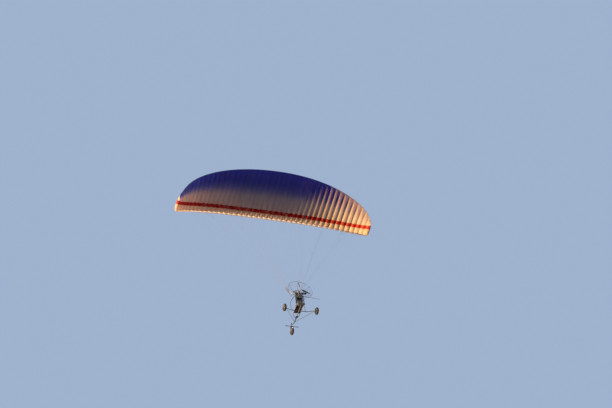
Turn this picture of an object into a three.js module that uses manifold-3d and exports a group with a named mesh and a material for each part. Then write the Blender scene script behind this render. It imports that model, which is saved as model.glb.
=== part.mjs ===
// Powered paraglider trike: an inflated cellular canopy, its lines and risers,
// and the three-wheeled frame that hangs below it on two carabiners.
// Millimetres, X to the aircraft's right, Y forward, Z up.
import * as THREE from 'three';
import { mergeVertices } from 'three/addons/utils/BufferGeometryUtils.js';
import ManifoldModule from 'manifold-3d';

const manifold = await ManifoldModule();
manifold.setup();
const { Manifold, Mesh: SolidMesh } = manifold;

const group = new THREE.Group();
group.name = 'paraglider_trike';

const V = (x, y, z) => new THREE.Vector3(x, y, z);
const degrees = Math.PI / 180;
const gap = 0.3;

const looks = {
  blueCloth: { color: 0x1b2f86, roughness: 0.6, metalness: 0 },
  creamCloth: { color: 0xd8c19c, roughness: 0.65, metalness: 0 },
  redCloth: { color: 0xb8321c, roughness: 0.6, metalness: 0 },
  line: { color: 0x8c8f96, roughness: 0.7, metalness: 0 },
  brakeLine: { color: 0xb5502c, roughness: 0.7, metalness: 0 },
  webbing: { color: 0x23262b, roughness: 0.85, metalness: 0 },
  steel: { color: 0xa9adb2, roughness: 0.3, metalness: 1 },
  frame: { color: 0x1d1f22, roughness: 0.42, metalness: 0.5 },
  hoop: { color: 0x9aa3ab, roughness: 0.38, metalness: 0.8 },
  aluminium: { color: 0xb4b7ba, roughness: 0.42, metalness: 0.9 },
  castGrey: { color: 0x53565a, roughness: 0.6, metalness: 0.7 },
  black: { color: 0x141517, roughness: 0.55, metalness: 0 },
  carbon: { color: 0x1a1b1d, roughness: 0.3, metalness: 0.1 },
  tank: { color: 0xd9d6c8, roughness: 0.5, metalness: 0 },
  rubber: { color: 0x18181a, roughness: 0.9, metalness: 0 },
  padding: { color: 0x2b2d33, roughness: 0.85, metalness: 0 },
};

// The canopy's sizes. Chord stations are shares of the local chord.
const wing = {
  halfSpan: 6150, chord: 3100, tipShare: 0.25, sweep: 820, sweepPower: 4.5,
  arc: 70 * degrees, power: 2.9, cells: 42, cloth: 2, bulge: 0.11, trim: 5 * degrees,
  thickness: 0.165, edge: 3.5,
  upper: [['low', 0.014], ['up', 0], ['up', 0.018], ['up', 0.07], ['up', 0.17],
    ['up', 0.36], ['up', 0.6], ['up', 0.82], ['up', 1]],
  lower: [0.055, 0.12, 0.3, 0.58, 1],
};

// Where the trike hangs, and where its main pieces stand.
const hang = { x: 270, y: 656.5, z: 1400, pin: 8, ring: 13.5, wire: 5, top: 96 };
const shaft = { z: 1150, tip: 600, plane: -34 };
const hoop = { radius: 655, wire: 9 };
const wheel = { radius: 200, width: 96, axle: 10, rearX: 890, rearY: 525, frontY: 2050 };
const steer = { lean: 20 * degrees, y: 1960, z: 455, low: 30, high: 215 };
const riser = { length: 500, tilt: 15 * degrees, strap: 3, width: 20 };

// Solids are joined near the first piece's own centre, where the numbers are small.
const solidOf = (geometry, centre) => {
  const flat = geometry.index ? geometry.toNonIndexed() : geometry;
  const place = flat.getAttribute('position');
  const moved = new Float64Array(place.array);
  for (let i = 0; i < place.count; i += 1) {
    moved[3 * i] -= centre.x;
    moved[3 * i + 1] -= centre.y;
    moved[3 * i + 2] -= centre.z;
  }
  const bare = new THREE.BufferGeometry();
  bare.setAttribute('position', new THREE.BufferAttribute(moved, 3));
  const merged = mergeVertices(bare, 1e-3);
  const kept = [];
  for (let i = 0; i < merged.index.count; i += 3) {
    const [a, b, c] = [0, 1, 2].map((k) => merged.index.getX(i + k));
    if (a !== b && b !== c && a !== c) kept.push(a, b, c);
  }
  return new Manifold(new SolidMesh({
    numProp: 3,
    vertProperties: new Float32Array(merged.getAttribute('position').array),
    triVerts: new Uint32Array(kept),
  }));
};

const geometryOf = (solid, centre) => {
  const mesh = solid.getMesh();
  const geometry = new THREE.BufferGeometry();
  geometry.setAttribute('position', new THREE.BufferAttribute(
    new Float64Array(mesh.vertProperties), 3));
  geometry.setIndex(new THREE.BufferAttribute(new Uint32Array(mesh.triVerts), 1));
  return geometry.translate(centre.x, centre.y, centre.z);
};

const combine = (how, pieces) => {
  pieces[0].computeBoundingBox();
  const centre = pieces[0].boundingBox.getCenter(V(0, 0, 0)).round();
  return geometryOf(how(pieces.map((piece) => solidOf(piece, centre))), centre);
};
const join = (...pieces) => combine(Manifold.union, pieces);
const cut = (body, ...tools) => combine(Manifold.difference, [body, ...tools]);

// A body from rows of points: walls between the rows, with flat ends or as a loop.
const loft = (rows, loop = false) => {
  const count = rows[0].length;
  const points = rows.flat();
  const faces = [];
  const spans = loop ? rows.length : rows.length - 1;
  for (let i = 0; i < spans; i += 1) {
    const next = (i + 1) % rows.length;
    for (let k = 0; k < count; k += 1) {
      const a = i * count + k;
      const b = i * count + ((k + 1) % count);
      const c = next * count + ((k + 1) % count);
      const d = next * count + k;
      faces.push(a, b, c, a, c, d);
    }
  }
  if (!loop) {
    const last = (rows.length - 1) * count;
    for (let k = 1; k < count - 1; k += 1) {
      faces.push(0, k + 1, k);
      faces.push(last, last + k, last + k + 1);
    }
  }
  return bodyOf(points, faces);
};

// A geometry from points and faces, turned right side out.
const bodyOf = (points, faces) => {
  let volume = 0;
  for (let i = 0; i < faces.length; i += 3) {
    const [a, b, c] = [points[faces[i]], points[faces[i + 1]], points[faces[i + 2]]];
    volume += a.dot(b.clone().cross(c));
  }
  if (volume < 0) {
    for (let i = 0; i < faces.length; i += 3) {
      [faces[i], faces[i + 1]] = [faces[i + 1], faces[i]];
    }
  }
  const geometry = new THREE.BufferGeometry();
  geometry.setAttribute('position', new THREE.BufferAttribute(
    new Float64Array(points.flatMap((p) => [p.x, p.y, p.z])), 3));
  geometry.setIndex(faces);
  return geometry;
};

const rod = (a, b, radius, sides = 10, endRadius = radius) => {
  const along = b.clone().sub(a);
  const geometry = new THREE.CylinderGeometry(endRadius, radius, along.length(), sides);
  geometry.applyQuaternion(new THREE.Quaternion().setFromUnitVectors(
    V(0, 1, 0), along.clone().normalize()));
  return geometry.translate((a.x + b.x) / 2, (a.y + b.y) / 2, (a.z + b.z) / 2);
};

const bentTube = (points, radius, steps = 14, sides = 10) => {
  const ring = [];
  for (let k = 0; k < sides; k += 1) {
    const turn = (k / sides) * 2 * Math.PI;
    ring.push(new THREE.Vector2(radius * Math.cos(turn), radius * Math.sin(turn)));
  }
  return new THREE.ExtrudeGeometry(new THREE.Shape(ring), {
    steps, bevelEnabled: false,
    extrudePath: new THREE.CatmullRomCurve3(points, false, 'centripetal'),
  });
};

const block = (x0, x1, y0, y1, z0, z1) => new THREE.BoxGeometry(x1 - x0, y1 - y0, z1 - z0)
  .translate((x0 + x1) / 2, (y0 + y1) / 2, (z0 + z1) / 2);

// A turned body on an axis along X, from [radius, along] pairs that close on themselves.
const turnedX = (profile, x, y, z, sides = 24) => {
  const outline = profile.map(([r, along]) => new THREE.Vector2(r, along));
  outline.push(outline[0].clone());
  const geometry = new THREE.LatheGeometry(outline, sides);
  return geometry.rotateZ(-Math.PI / 2).translate(x, y, z);
};

const turnedY = (profile, x, y, z, sides = 20) => {
  const outline = profile.map(([r, along]) => new THREE.Vector2(r, along));
  return new THREE.LatheGeometry(outline, sides).translate(x, y, z);
};

const slab = (points, thickness) => new THREE.ExtrudeGeometry(
  new THREE.Shape(points.map(([a, b]) => new THREE.Vector2(a, b))),
  { depth: thickness, bevelEnabled: false });

// The canopy's span line, summed from the middle out in small steps.
const arcAt = (() => {
  const steps = 4000;
  const side = [[0, 0]];
  for (let i = 1; i <= steps; i += 1) {
    const turn = wing.arc * ((i - 0.5) / steps) ** wing.power;
    const [x, z] = side[i - 1];
    side.push([x + (wing.halfSpan / steps) * Math.cos(turn),
      z - (wing.halfSpan / steps) * Math.sin(turn)]);
  }
  return (t) => {
    const [x, z] = side[Math.round(Math.abs(t) * steps)];
    return [Math.sign(t) * x, z];
  };
})();

const nose = V(0, hang.y + 1050, hang.z + 7950);
const trimTurn = new THREE.Matrix4().makeTranslation(nose.x, nose.y, nose.z)
  .multiply(new THREE.Matrix4().makeRotationX(-wing.trim));

const camber = (u) => 0.022 * Math.sin(Math.PI * u ** 0.75);
const halfThick = (u) => 5 * wing.thickness * (0.2969 * Math.sqrt(u) - 0.126 * u
  - 0.3516 * u * u + 0.2843 * u ** 3 - 0.1036 * u ** 4);
const height = (side, u) => (side === 'up'
  ? camber(u) + halfThick(u) : camber(u) - 0.7 * halfThick(u));

// A point of the canopy: t along the span, side and u on the profile,
// out square to the profile, shift along the span line.
const skinPoint = (t, side, u, out = 0, shift = 0) => {
  const turn = Math.sign(t) * wing.arc * Math.abs(t) ** wing.power;
  const [x, z] = arcAt(t);
  const share = Math.sqrt(1 - (1 - wing.tipShare ** 2) * t * t);
  const chord = wing.chord * share;
  const sign = side === 'up' ? 1 : -1;
  const low = Math.max(u - 0.004, 0);
  const high = Math.min(u + 0.004, 1);
  let along = high - low;
  let rise = height(side, high) - height(side, low);
  if (u === 0) [along, rise] = [0, 1];
  const size = Math.hypot(along, rise);
  const normal = [(-rise / size) * sign, (along / size) * sign];
  if (u === 0) [normal[0], normal[1]] = [-1, 0];
  const aft = u * chord + normal[0] * out;
  const lift = height(side, u) * chord + sign * wing.edge * u + normal[1] * out;
  const back = -wing.sweep * Math.abs(t) ** wing.sweepPower;
  return V(
    x + lift * Math.sin(turn) + shift * Math.cos(turn),
    back - aft,
    z + lift * Math.cos(turn) - shift * Math.sin(turn),
  ).applyMatrix4(trimTurn);
};

const air = skinPoint(0, 'up', 0.36);

const put = (name, look, geometry) => {
  geometry.translate(-air.x, -air.y, -air.z);
  geometry.computeVertexNormals();
  const mesh = new THREE.Mesh(geometry, new THREE.MeshStandardMaterial({ ...looks[look] }));
  mesh.name = name;
  group.add(mesh);
  return mesh;
};

const mirrored = (geometry) => {
  const points = [];
  const place = geometry.getAttribute('position');
  for (let i = 0; i < place.count; i += 1) {
    points.push(V(-place.getX(i), place.getY(i), place.getZ(i)));
  }
  const faces = [];
  const order = geometry.index ? geometry.index.array : points.keys();
  faces.push(...order);
  return bodyOf(points, faces);
};

const bothSides = (name, look, build) => {
  const right = build();
  const left = mirrored(build());
  put(`${name}_right`, look, right);
  put(`${name}_left`, look, left);
};

// Cloth between ribs stands out from the rib lines, less toward the trailing edge.
const swell = (t, u) => {
  const cell = (2 * wing.halfSpan) / wing.cells;
  const fade = u < 0.5 ? 1 : 1 - 0.8 * ((u - 0.5) / 0.5) ** 1.5;
  return wing.bulge * cell * fade * (1 - 0.55 * Math.abs(t) ** 4);
};

const columns = 2 * wing.cells;
const spanAt = (column) => -1 + column / wing.cells;
const isRib = (column) => column % 2 === 0;

const upperSkin = () => {
  const count = wing.upper.length;
  const points = [];
  for (let m = 0; m <= columns; m += 1) {
    const t = spanAt(m);
    for (const inside of [0, 1]) {
      for (const [side, u] of wing.upper) {
        const out = (isRib(m) ? 0 : swell(t, u)) - inside * wing.cloth;
        points.push(skinPoint(t, side, u, out));
      }
    }
  }
  const at = (m, inside, k) => (m * 2 + inside) * count + k;
  const faces = [];
  const quad = (a, b, c, d) => faces.push(a, b, c, a, c, d);
  for (let m = 0; m < columns; m += 1) {
    for (let k = 0; k < count - 1; k += 1) {
      quad(at(m, 0, k), at(m + 1, 0, k), at(m + 1, 0, k + 1), at(m, 0, k + 1));
      quad(at(m, 1, k), at(m, 1, k + 1), at(m + 1, 1, k + 1), at(m + 1, 1, k));
    }
    quad(at(m, 0, 0), at(m, 1, 0), at(m + 1, 1, 0), at(m + 1, 0, 0));
    const e = count - 1;
    quad(at(m, 0, e), at(m + 1, 0, e), at(m + 1, 1, e), at(m, 1, e));
  }
  for (let k = 0; k < count - 1; k += 1) {
    quad(at(0, 0, k), at(0, 0, k + 1), at(0, 1, k + 1), at(0, 1, k));
    const e = columns;
    quad(at(e, 0, k), at(e, 1, k), at(e, 1, k + 1), at(e, 0, k + 1));
  }
  return bodyOf(points, faces);
};

// The lower skin carries the ribs: each rib stands on its inner face.
const lowerSkin = () => {
  const count = wing.lower.length;
  const points = [];
  const faces = [];
  const quad = (a, b, c, d) => faces.push(a, b, c, a, c, d);
  const outer = [];
  const innerLeft = [];
  const innerRight = [];
  for (let m = 0; m <= columns; m += 1) {
    const t = spanAt(m);
    const inner = !isRib(m) || m === 0 || m === columns;
    const out = isRib(m) ? () => 0 : (u) => swell(t, u);
    const row = (inset, shift) => wing.lower.map((u) => {
      points.push(skinPoint(t, 'low', u, out(u) - inset, shift));
      return points.length - 1;
    });
    outer.push(row(0, 0));
    innerLeft.push(row(wing.cloth, inner ? 0 : -wing.cloth / 2));
    innerRight.push(inner ? innerLeft[m] : row(wing.cloth, wing.cloth / 2));
  }
  for (let m = 0; m < columns; m += 1) {
    for (let k = 0; k < count - 1; k += 1) {
      quad(outer[m][k], outer[m][k + 1], outer[m + 1][k + 1], outer[m + 1][k]);
      quad(innerRight[m][k], innerLeft[m + 1][k], innerLeft[m + 1][k + 1], innerRight[m][k + 1]);
    }
    quad(outer[m][0], outer[m + 1][0], innerLeft[m + 1][0], innerRight[m][0]);
    const e = count - 1;
    quad(outer[m][e], innerRight[m][e], innerLeft[m + 1][e], outer[m + 1][e]);
  }
  for (let k = 0; k < count - 1; k += 1) {
    quad(outer[0][k], innerLeft[0][k], innerLeft[0][k + 1], outer[0][k + 1]);
    const e = columns;
    quad(outer[e][k], outer[e][k + 1], innerLeft[e][k + 1], innerLeft[e][k]);
  }
  const top = [1, 0.82, 0.6, 0.36, 0.17, 0.07, 0.018];
  for (let m = 2; m < columns; m += 2) {
    const t = spanAt(m);
    const clear = wing.cloth + gap;
    const rim = top.map((u) => ['up', u, u > 0.1 ? -clear : -clear - 2]);
    rim.push(['low', 0.02, -clear - 2]);
    const shared = innerLeft[m].length;
    const start = points.length;
    for (const shift of [-wing.cloth / 2, wing.cloth / 2]) {
      for (const [side, u, out] of rim) points.push(skinPoint(t, side, u, out, shift));
    }
    const left = [...innerLeft[m], ...rim.map((_, i) => start + i)];
    const right = [...innerRight[m], ...rim.map((_, i) => start + rim.length + i)];
    const origin = skinPoint(t, 'low', 0, 0);
    const aft = skinPoint(t, 'low', 1, 0).sub(origin).normalize();
    const up = skinPoint(t, 'up', 0.4, 0).sub(skinPoint(t, 'low', 0.4, 0));
    up.sub(aft.clone().multiplyScalar(up.dot(aft))).normalize();
    const flat = left.map((i) => {
      const p = points[i].clone().sub(origin);
      return new THREE.Vector2(p.dot(aft), p.dot(up));
    });
    for (const [a, b, c] of THREE.ShapeUtils.triangulateShape(flat, [])) {
      const area = (flat[b].x - flat[a].x) * (flat[c].y - flat[a].y)
        - (flat[c].x - flat[a].x) * (flat[b].y - flat[a].y);
      const [p, q] = area > 0 ? [b, c] : [c, b];
      faces.push(left[a], left[q], left[p]);
      faces.push(right[a], right[p], right[q]);
    }
    for (let i = shared - 1; i < left.length; i += 1) {
      const j = (i + 1) % left.length;
      quad(left[i], left[j], right[j], right[i]);
    }
    const e = count - 1;
    faces.push(outer[m][0], innerRight[m][0], innerLeft[m][0]);
    faces.push(outer[m][e], innerLeft[m][e], innerRight[m][e]);
  }
  return bodyOf(points, faces);
};

put('canopy_upper_skin', 'blueCloth', upperSkin());
put('canopy_lower_skin', 'creamCloth', lowerSkin());

// The tip panels close the end cells just outside both skins.
const tipPanel = () => {
  const outline = [...wing.upper.map(([side, u]) => [side, u]),
    ...[...wing.lower].reverse().map((u) => ['low', u])];
  const row = (shift) => outline.map(([side, u]) => skinPoint(1, side, u, 0, shift));
  const [near, far] = [row(gap), row(gap + wing.cloth)];
  const origin = near[0];
  const aft = skinPoint(1, 'low', 1, 0).sub(origin).normalize();
  const up = skinPoint(1, 'up', 0.4, 0).sub(skinPoint(1, 'low', 0.4, 0)).normalize();
  const flat = near.map((p) => new THREE.Vector2(
    p.clone().sub(origin).dot(aft), p.clone().sub(origin).dot(up)));
  const count = near.length;
  const faces = [];
  const turn = THREE.ShapeUtils.isClockWise(flat) ? -1 : 1;
  for (const [a, b, c] of THREE.ShapeUtils.triangulateShape(flat, [])) {
    const area = (flat[b].x - flat[a].x) * (flat[c].y - flat[a].y)
      - (flat[c].x - flat[a].x) * (flat[b].y - flat[a].y);
    const [p, q] = area * turn > 0 ? [b, c] : [c, b];
    faces.push(a, q, p, count + a, count + p, count + q);
  }
  for (let i = 0; i < count; i += 1) {
    const j = (i + 1) % count;
    faces.push(i, j, count + j, i, count + j, count + i);
  }
  return bodyOf([...near, ...far], faces);
};
bothSides('stabiliser', 'blueCloth', tipPanel);

// Each row of main lines meets at a link on the riser's strap.
const riserTop = (reach, lift) => {
  const local = V(0, reach, hang.top + lift);
  return V(hang.x + (local.z - hang.top) * Math.sin(riser.tilt), hang.y + local.y,
    hang.z + hang.top + (local.z - hang.top) * Math.cos(riser.tilt));
};
const rows = {
  a: { u: 0.12, reach: 78, look: 'line' },
  b: { u: 0.3, reach: 0, look: 'line' },
  c: { u: 0.58, reach: -78, look: 'line' },
};
const mainRibs = [2, 7, 12, 17];
const lineRadius = 1.5;
const across = V(Math.cos(riser.tilt), 0, -Math.sin(riser.tilt));
const upward = V(Math.sin(riser.tilt), 0, Math.cos(riser.tilt));

// A link block with straight lines: each is a thin prism cut off along its seat.
const bundle = (foot, ups, tail = null) => {
  const [wide, deep, high] = [18, 5, 10];
  const at = (x, y, z) => foot.clone().addScaledVector(across, x).add(V(0, y, 0))
    .addScaledVector(upward, z);
  const six = Array.from({ length: 6 }, (_, k) => [
    lineRadius * Math.cos((k * Math.PI) / 3), lineRadius * Math.sin((k * Math.PI) / 3)]);
  const corners = [[-wide, -deep], [wide, -deep], [wide, deep], [-wide, deep]];
  const points = [...corners.map(([x, y]) => at(x, y, 0)), ...corners.map(([x, y]) => at(x, y, high))];
  const faces = [];
  const quad = (a, b, c, d) => faces.push(a, b, c, a, c, d);
  for (let k = 0; k < 4; k += 1) quad(k, (k + 1) % 4, 4 + ((k + 1) % 4), 4 + k);
  const face = (level, first, lines, upper) => {
    const holes = lines.map(({ x }) => six.map(([p, q]) => new THREE.Vector2(x + p, q)));
    const index = [0, 1, 2, 3].map((k) => first + k);
    for (const [i, { x, end, normal }] of lines.entries()) {
      const start = points.length;
      const from = at(x, 0, level);
      const along = end.clone().sub(from).normalize();
      six.forEach(([p, q]) => points.push(at(x + p, q, level)));
      six.forEach(([p, q]) => {
        const off = at(x + p, q, level).sub(from);
        const slide = -off.dot(normal) / along.dot(normal);
        points.push(end.clone().add(off).addScaledVector(along, slide));
      });
      for (let k = 0; k < 6; k += 1) {
        index.push(start + k);
        const n = (k + 1) % 6;
        if (upper) quad(start + k, start + n, start + 6 + n, start + 6 + k);
        else quad(start + n, start + k, start + 6 + k, start + 6 + n);
      }
      for (let k = 1; k < 5; k += 1) {
        if (upper) faces.push(start + 6, start + 6 + k, start + 7 + k);
        else faces.push(start + 6, start + 7 + k, start + 6 + k);
      }
      holes[i].reverse();
    }
    const order = [0, 1, 2, 3, ...lines.flatMap((_, i) => [5, 4, 3, 2, 1, 0].map((k) => 4 + 6 * i + k))];
    const outline = corners.map(([x, y]) => new THREE.Vector2(x, y));
    for (const [a, b, c] of THREE.ShapeUtils.triangulateShape(outline, holes)) {
      const all = [...outline, ...holes.flat()];
      const area = (all[b].x - all[a].x) * (all[c].y - all[a].y)
        - (all[c].x - all[a].x) * (all[b].y - all[a].y);
      const three = [a, b, c].map((k) => index[order[k]]);
      if ((area > 0) !== upper) three.reverse();
      faces.push(...three);
    }
  };
  face(high, 4, ups, true);
  face(0, 0, tail ? [tail] : [], false);
  return bodyOf(points, faces);
};
const seatOn = (rib, u) => {
  const t = rib / (wing.cells / 2);
  const normal = skinPoint(t, 'low', u, 1).sub(skinPoint(t, 'low', u, 0)).normalize();
  return { end: skinPoint(t, 'low', u, 0.75), normal };
};
for (const [row, { u, reach, look }] of Object.entries(rows)) {
  bothSides(`lines_${row}`, look, () => bundle(riserTop(reach, riser.length + gap),
    mainRibs.map((rib, i) => ({ x: -12 + 8 * i, ...seatOn(rib, u) }))));
}

// A brake line runs from the handle to a knot, and fans out to the trailing edge.
const handle = { lift: 330, half: 55, deep: 7, lean: Math.atan(78 / (riser.length - 100)) };
handle.edge = -riser.width / 2 - (78 * (handle.lift - 100)) / (riser.length - 100);
const onHandle = (d) => riserTop(
  handle.edge - Math.cos(handle.lean) * (handle.deep + gap) - Math.sin(handle.lean) * d,
  handle.lift - Math.sin(handle.lean) * (handle.deep + gap) + Math.cos(handle.lean) * d);
bothSides('brake_lines', 'brakeLine', () => {
  const knot = V(2350, -420, hang.z + 5600);
  return bundle(knot, [5, 10, 14, 18].map((rib, i) => ({ x: -12 + 8 * i, ...seatOn(rib, 1) })),
    { x: 0, end: onHandle(handle.half + gap + 0.2), normal: upward });
});

// Riser straps: a loop over the carabiner's bar, and three straps that spread fore and aft.
bothSides('riser', 'webbing', () => {
  const half = riser.width / 2;
  const top = riser.length - 30;
  const fork = [[half, 0], [-half, 0], [-half, 70], [-78 - half, top], [-78 + half, top],
    [-14, 190], [-half, top], [half, top], [14, 190], [78 - half, top], [78 + half, top], [half, 70]];
  const straps = slab(fork, riser.strap).rotateX(Math.PI / 2).rotateZ(Math.PI / 2)
    .translate(-riser.strap / 2, 0, 0);
  const ring = (r) => Array.from({ length: 17 }, (_, k) => {
    const turn = Math.PI + (k / 16) * Math.PI;
    return [r * Math.cos(turn), r * Math.sin(turn)];
  });
  const inner = hang.wire + gap + 0.2;
  const outer = inner + riser.strap;
  const loopShape = [...ring(outer), [riser.strap / 2, 34], [-riser.strap / 2, 34]];
  const holeShape = [...ring(inner), [inner, 8], [0, 24], [-inner, 8]];
  const outerBody = slab(loopShape.map(([a, b]) => [a, b]), riser.width)
    .rotateX(Math.PI / 2).translate(0, half, 0);
  const hole = slab(holeShape, riser.width + 8).rotateX(Math.PI / 2).translate(0, half + 4, 0);
  const strapUp = straps.translate(0, 0, 30);
  return join(cut(outerBody, hole), strapUp)
    .rotateY(riser.tilt).translate(hang.x, hang.y, hang.z + hang.top);
});

// Carabiner: a closed wire, narrow at the pin and wide at the riser's bar.
bothSides('carabiner', 'steel', () => {
  const path = [];
  const add = (y, z, r, from, to, steps) => {
    for (let k = 0; k <= steps; k += 1) {
      const turn = (from + ((to - from) * k) / steps) * degrees;
      path.push([y + r * Math.cos(turn), z + r * Math.sin(turn)]);
    }
  };
  add(0, 0, hang.ring, 190, 350, 8);
  add(14, hang.top - 10, 10, 0, 90, 3);
  add(-14, hang.top - 10, 10, 90, 180, 3);
  const count = path.length;
  const rings = path.map(([y, z], i) => {
    const [py, pz] = path[(i + count - 1) % count];
    const [ny, nz] = path[(i + 1) % count];
    const along = V(0, ny - py, nz - pz).normalize();
    const side = V(1, 0, 0);
    const out = along.clone().cross(side);
    return Array.from({ length: 8 }, (_, k) => {
      const turn = (k / 8) * 2 * Math.PI;
      return V(0, y, z).addScaledVector(side, hang.wire * Math.cos(turn))
        .addScaledVector(out, hang.wire * Math.sin(turn));
    });
  });
  return loft(rings, true).translate(hang.x, hang.y, hang.z);
});

bothSides('brake_handle', 'redCloth', () => {
  const plank = (x, y, z) => loft([-1, 1].map((s) => [[-x, -y], [x, -y], [x, y], [-x, y]]
    .map(([p, q]) => V(p, q, s * z))));
  const centre = onHandle(0);
  return cut(plank(9, handle.deep, handle.half), plank(20, 2.5, 42))
    .rotateX(handle.lean).rotateY(riser.tilt).translate(centre.x, centre.y, centre.z);
});

// Trike frame: keel, head tube, two mast tubes with cross tubes, and seat rails.
const mast = { x: 190, y: 300, footZ: 330, topZ: 1330 };
const beam = { x: 400, y: 760, z: 350 };
const axis = V(0, -Math.sin(steer.lean), Math.cos(steer.lean));
const crown = V(0, steer.y, steer.z);
const onAxis = (d) => crown.clone().addScaledVector(axis, d);

const frame = () => {
  const side = (s) => [
    rod(V(s * mast.x, mast.y, mast.footZ), V(s * mast.x, mast.y, mast.topZ), 16, 12),
    rod(V(s * mast.x, mast.y, 478), V(s * mast.x, 1066, 478), 13, 8),
    bentTube([V(s * mast.x, 1056, 478), V(s * 180, 1110, 462), V(s * 110, 1205, 400),
      V(s * 8, 1300, 335)], 12.5, 6, 6),
  ];
  const cross = [mast.footZ, 640, 1290].map((z) => rod(
    V(-mast.x, mast.y, z), V(mast.x, mast.y, z), 14, 8));
  const keel = bentTube([V(0, 300, 330), V(0, 900, 330), V(0, 1450, 330), V(0, 1680, 395),
    V(0, onAxis(125).y - 12, onAxis(125).z)], 25, 14, 10);
  const head = rod(onAxis(steer.low), onAxis(steer.high), 27, 12);
  const bore = rod(onAxis(steer.low - 20), onAxis(steer.high + 20), 17.9, 12);
  const stretcher = rod(V(-beam.x, beam.y, beam.z), V(beam.x, beam.y, beam.z), 18, 10);
  const pad = block(-60, 60, 1080, 1200, 296, 316);
  return cut(join(keel, head, stretcher, pad, ...cross, ...side(1), ...side(-1)), bore);
};
put('main_frame', 'frame', frame());

// Rear legs: a swept leg and a drag strut meet at the stub axle.
const hub = V(wheel.rearX, wheel.rearY, wheel.radius);
bothSides('rear_leg', 'frame', () => {
  const socket = V(beam.x + gap, beam.y, beam.z);
  const knee = V(hub.x - 75, hub.y, hub.z + 6);
  const keelEnd = V(32.2, 1478, 322);
  return join(
    rod(V(beam.x + gap, beam.y, beam.z), V(beam.x + 46, beam.y, beam.z), 21, 10),
    bentTube([socket.clone().add(V(24, 0, 0)), V(560, 700, 316), V(720, 590, 246), knee], 16, 7, 8),
    rod(keelEnd, V(hub.x - 95, hub.y + 22, hub.z + 8), 10, 8),
    rod(V(hub.x - 92, hub.y, hub.z), V(hub.x - wheel.width / 2 - 8, hub.y, hub.z), 22, 10),
    rod(V(hub.x - 60, hub.y, hub.z), V(hub.x + 44, hub.y, hub.z), wheel.axle, 12),
    rod(V(hub.x + 41.3, hub.y, hub.z), V(hub.x + 52, hub.y, hub.z), 17, 8),
  );
});

// Side rails: a post beside the seat that bends back to the mast.
bothSides('side_rail', 'frame', () => {
  const [x, y, inner] = [beam.x - 30, beam.y, mast.y];
  return join(
    rod(V(x, y, beam.z + 18 + gap), V(x, y, beam.z + 42), 12, 8),
    bentTube([V(x, y, beam.z + 34), V(x + 10, y - 14, 620), V(x + 8, y - 32, 870),
      V(x - 12, y - 96, 940), V(x - 50, 470, 955), V(x - 100, 330, 953),
      V(mast.x + 32, inner + 8, 950)], 11, 14, 6),
    rod(V(mast.x + 16 + gap, inner, 950), V(mast.x + 46, inner, 950), 13, 8));
});

put('side_boom_right', 'frame', join(
  rod(V(mast.x + 36, mast.y, 1040), V(1150, 360, 1010), 9, 8, 6),
  rod(V(mast.x + 16 + gap, mast.y, 1040), V(mast.x + 60, mast.y, 1040), 15, 10)));

// Hang arms reach from the mast's head to the carabiner pins.
bothSides('hang_arm', 'frame', () => {
  const lug = rod(V(hang.x - 40, hang.y, hang.z), V(hang.x - 11, hang.y, hang.z), 20, 10);
  const above = (d) => V(mast.x, mast.y, mast.topZ + d);
  return join(
    rod(above(gap), above(36), 17, 12),
    bentTube([above(28), V(mast.x + 6, mast.y + 20, mast.topZ + 76),
      V(mast.x + 22, 460, 1430), V(hang.x - 29, hang.y - 10, hang.z + 1)], 14, 9, 8),
    lug,
    rod(V(hang.x - 14, hang.y, hang.z), V(hang.x + 13, hang.y, hang.z), hang.pin, 12),
    rod(V(hang.x + 10, hang.y, hang.z), V(hang.x + 16, hang.y, hang.z), 14, 10),
  );
});

// Seat: a bent pan on the rails with two soft pads.
const seat = { half: 200, backY: 500, z: 505 };
const backLean = 16 * degrees;
const backPoint = (up, out) => [
  seat.backY - up * Math.sin(backLean) + out * Math.cos(backLean),
  seat.z + up * Math.cos(backLean) + out * Math.sin(backLean)];
const extrudeX = (outline, x0, x1) => slab(outline, x1 - x0)
  .rotateX(Math.PI / 2).rotateZ(Math.PI / 2).translate(x0, 0, 0);
put('seat_pan', 'black', extrudeX([
  [1050, seat.z - 13.2], [1050, seat.z - 8.2], backPoint(-8.53, 0), backPoint(600, 0),
  backPoint(600, -6), [seat.backY - 6, seat.z - 13.2]], -seat.half, seat.half));
const pad = (width, depth, high) => {
  const rows3 = [[0.93, 0.9, 0], [1, 1, 0.22], [1, 1, 0.7], [0.94, 0.93, 0.93], [0.7, 0.7, 1]];
  const corner = (a, b) => [[-1, -0.72], [-0.72, -1], [0.72, -1], [1, -0.72], [1, 0.72],
    [0.72, 1], [-0.72, 1], [-1, 0.72]].map(([p, q]) => [p * a, q * b]);
  return loft(rows3.map(([sx, sy, sz]) => corner((width / 2) * sx, (depth / 2) * sy)
    .map(([x, y]) => V(x, y, high * sz))));
};
put('seat_cushion', 'padding', pad(385, 470, 62).translate(0, 815, seat.z - 8.2 + gap));
const backPad = pad(385, 500, 55).rotateX(-Math.PI / 2 + backLean + 0).translate(0, 0, 0);
{
  const [y, z] = backPoint(330, gap);
  put('back_cushion', 'padding', backPad.translate(0, y, z));
}

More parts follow.
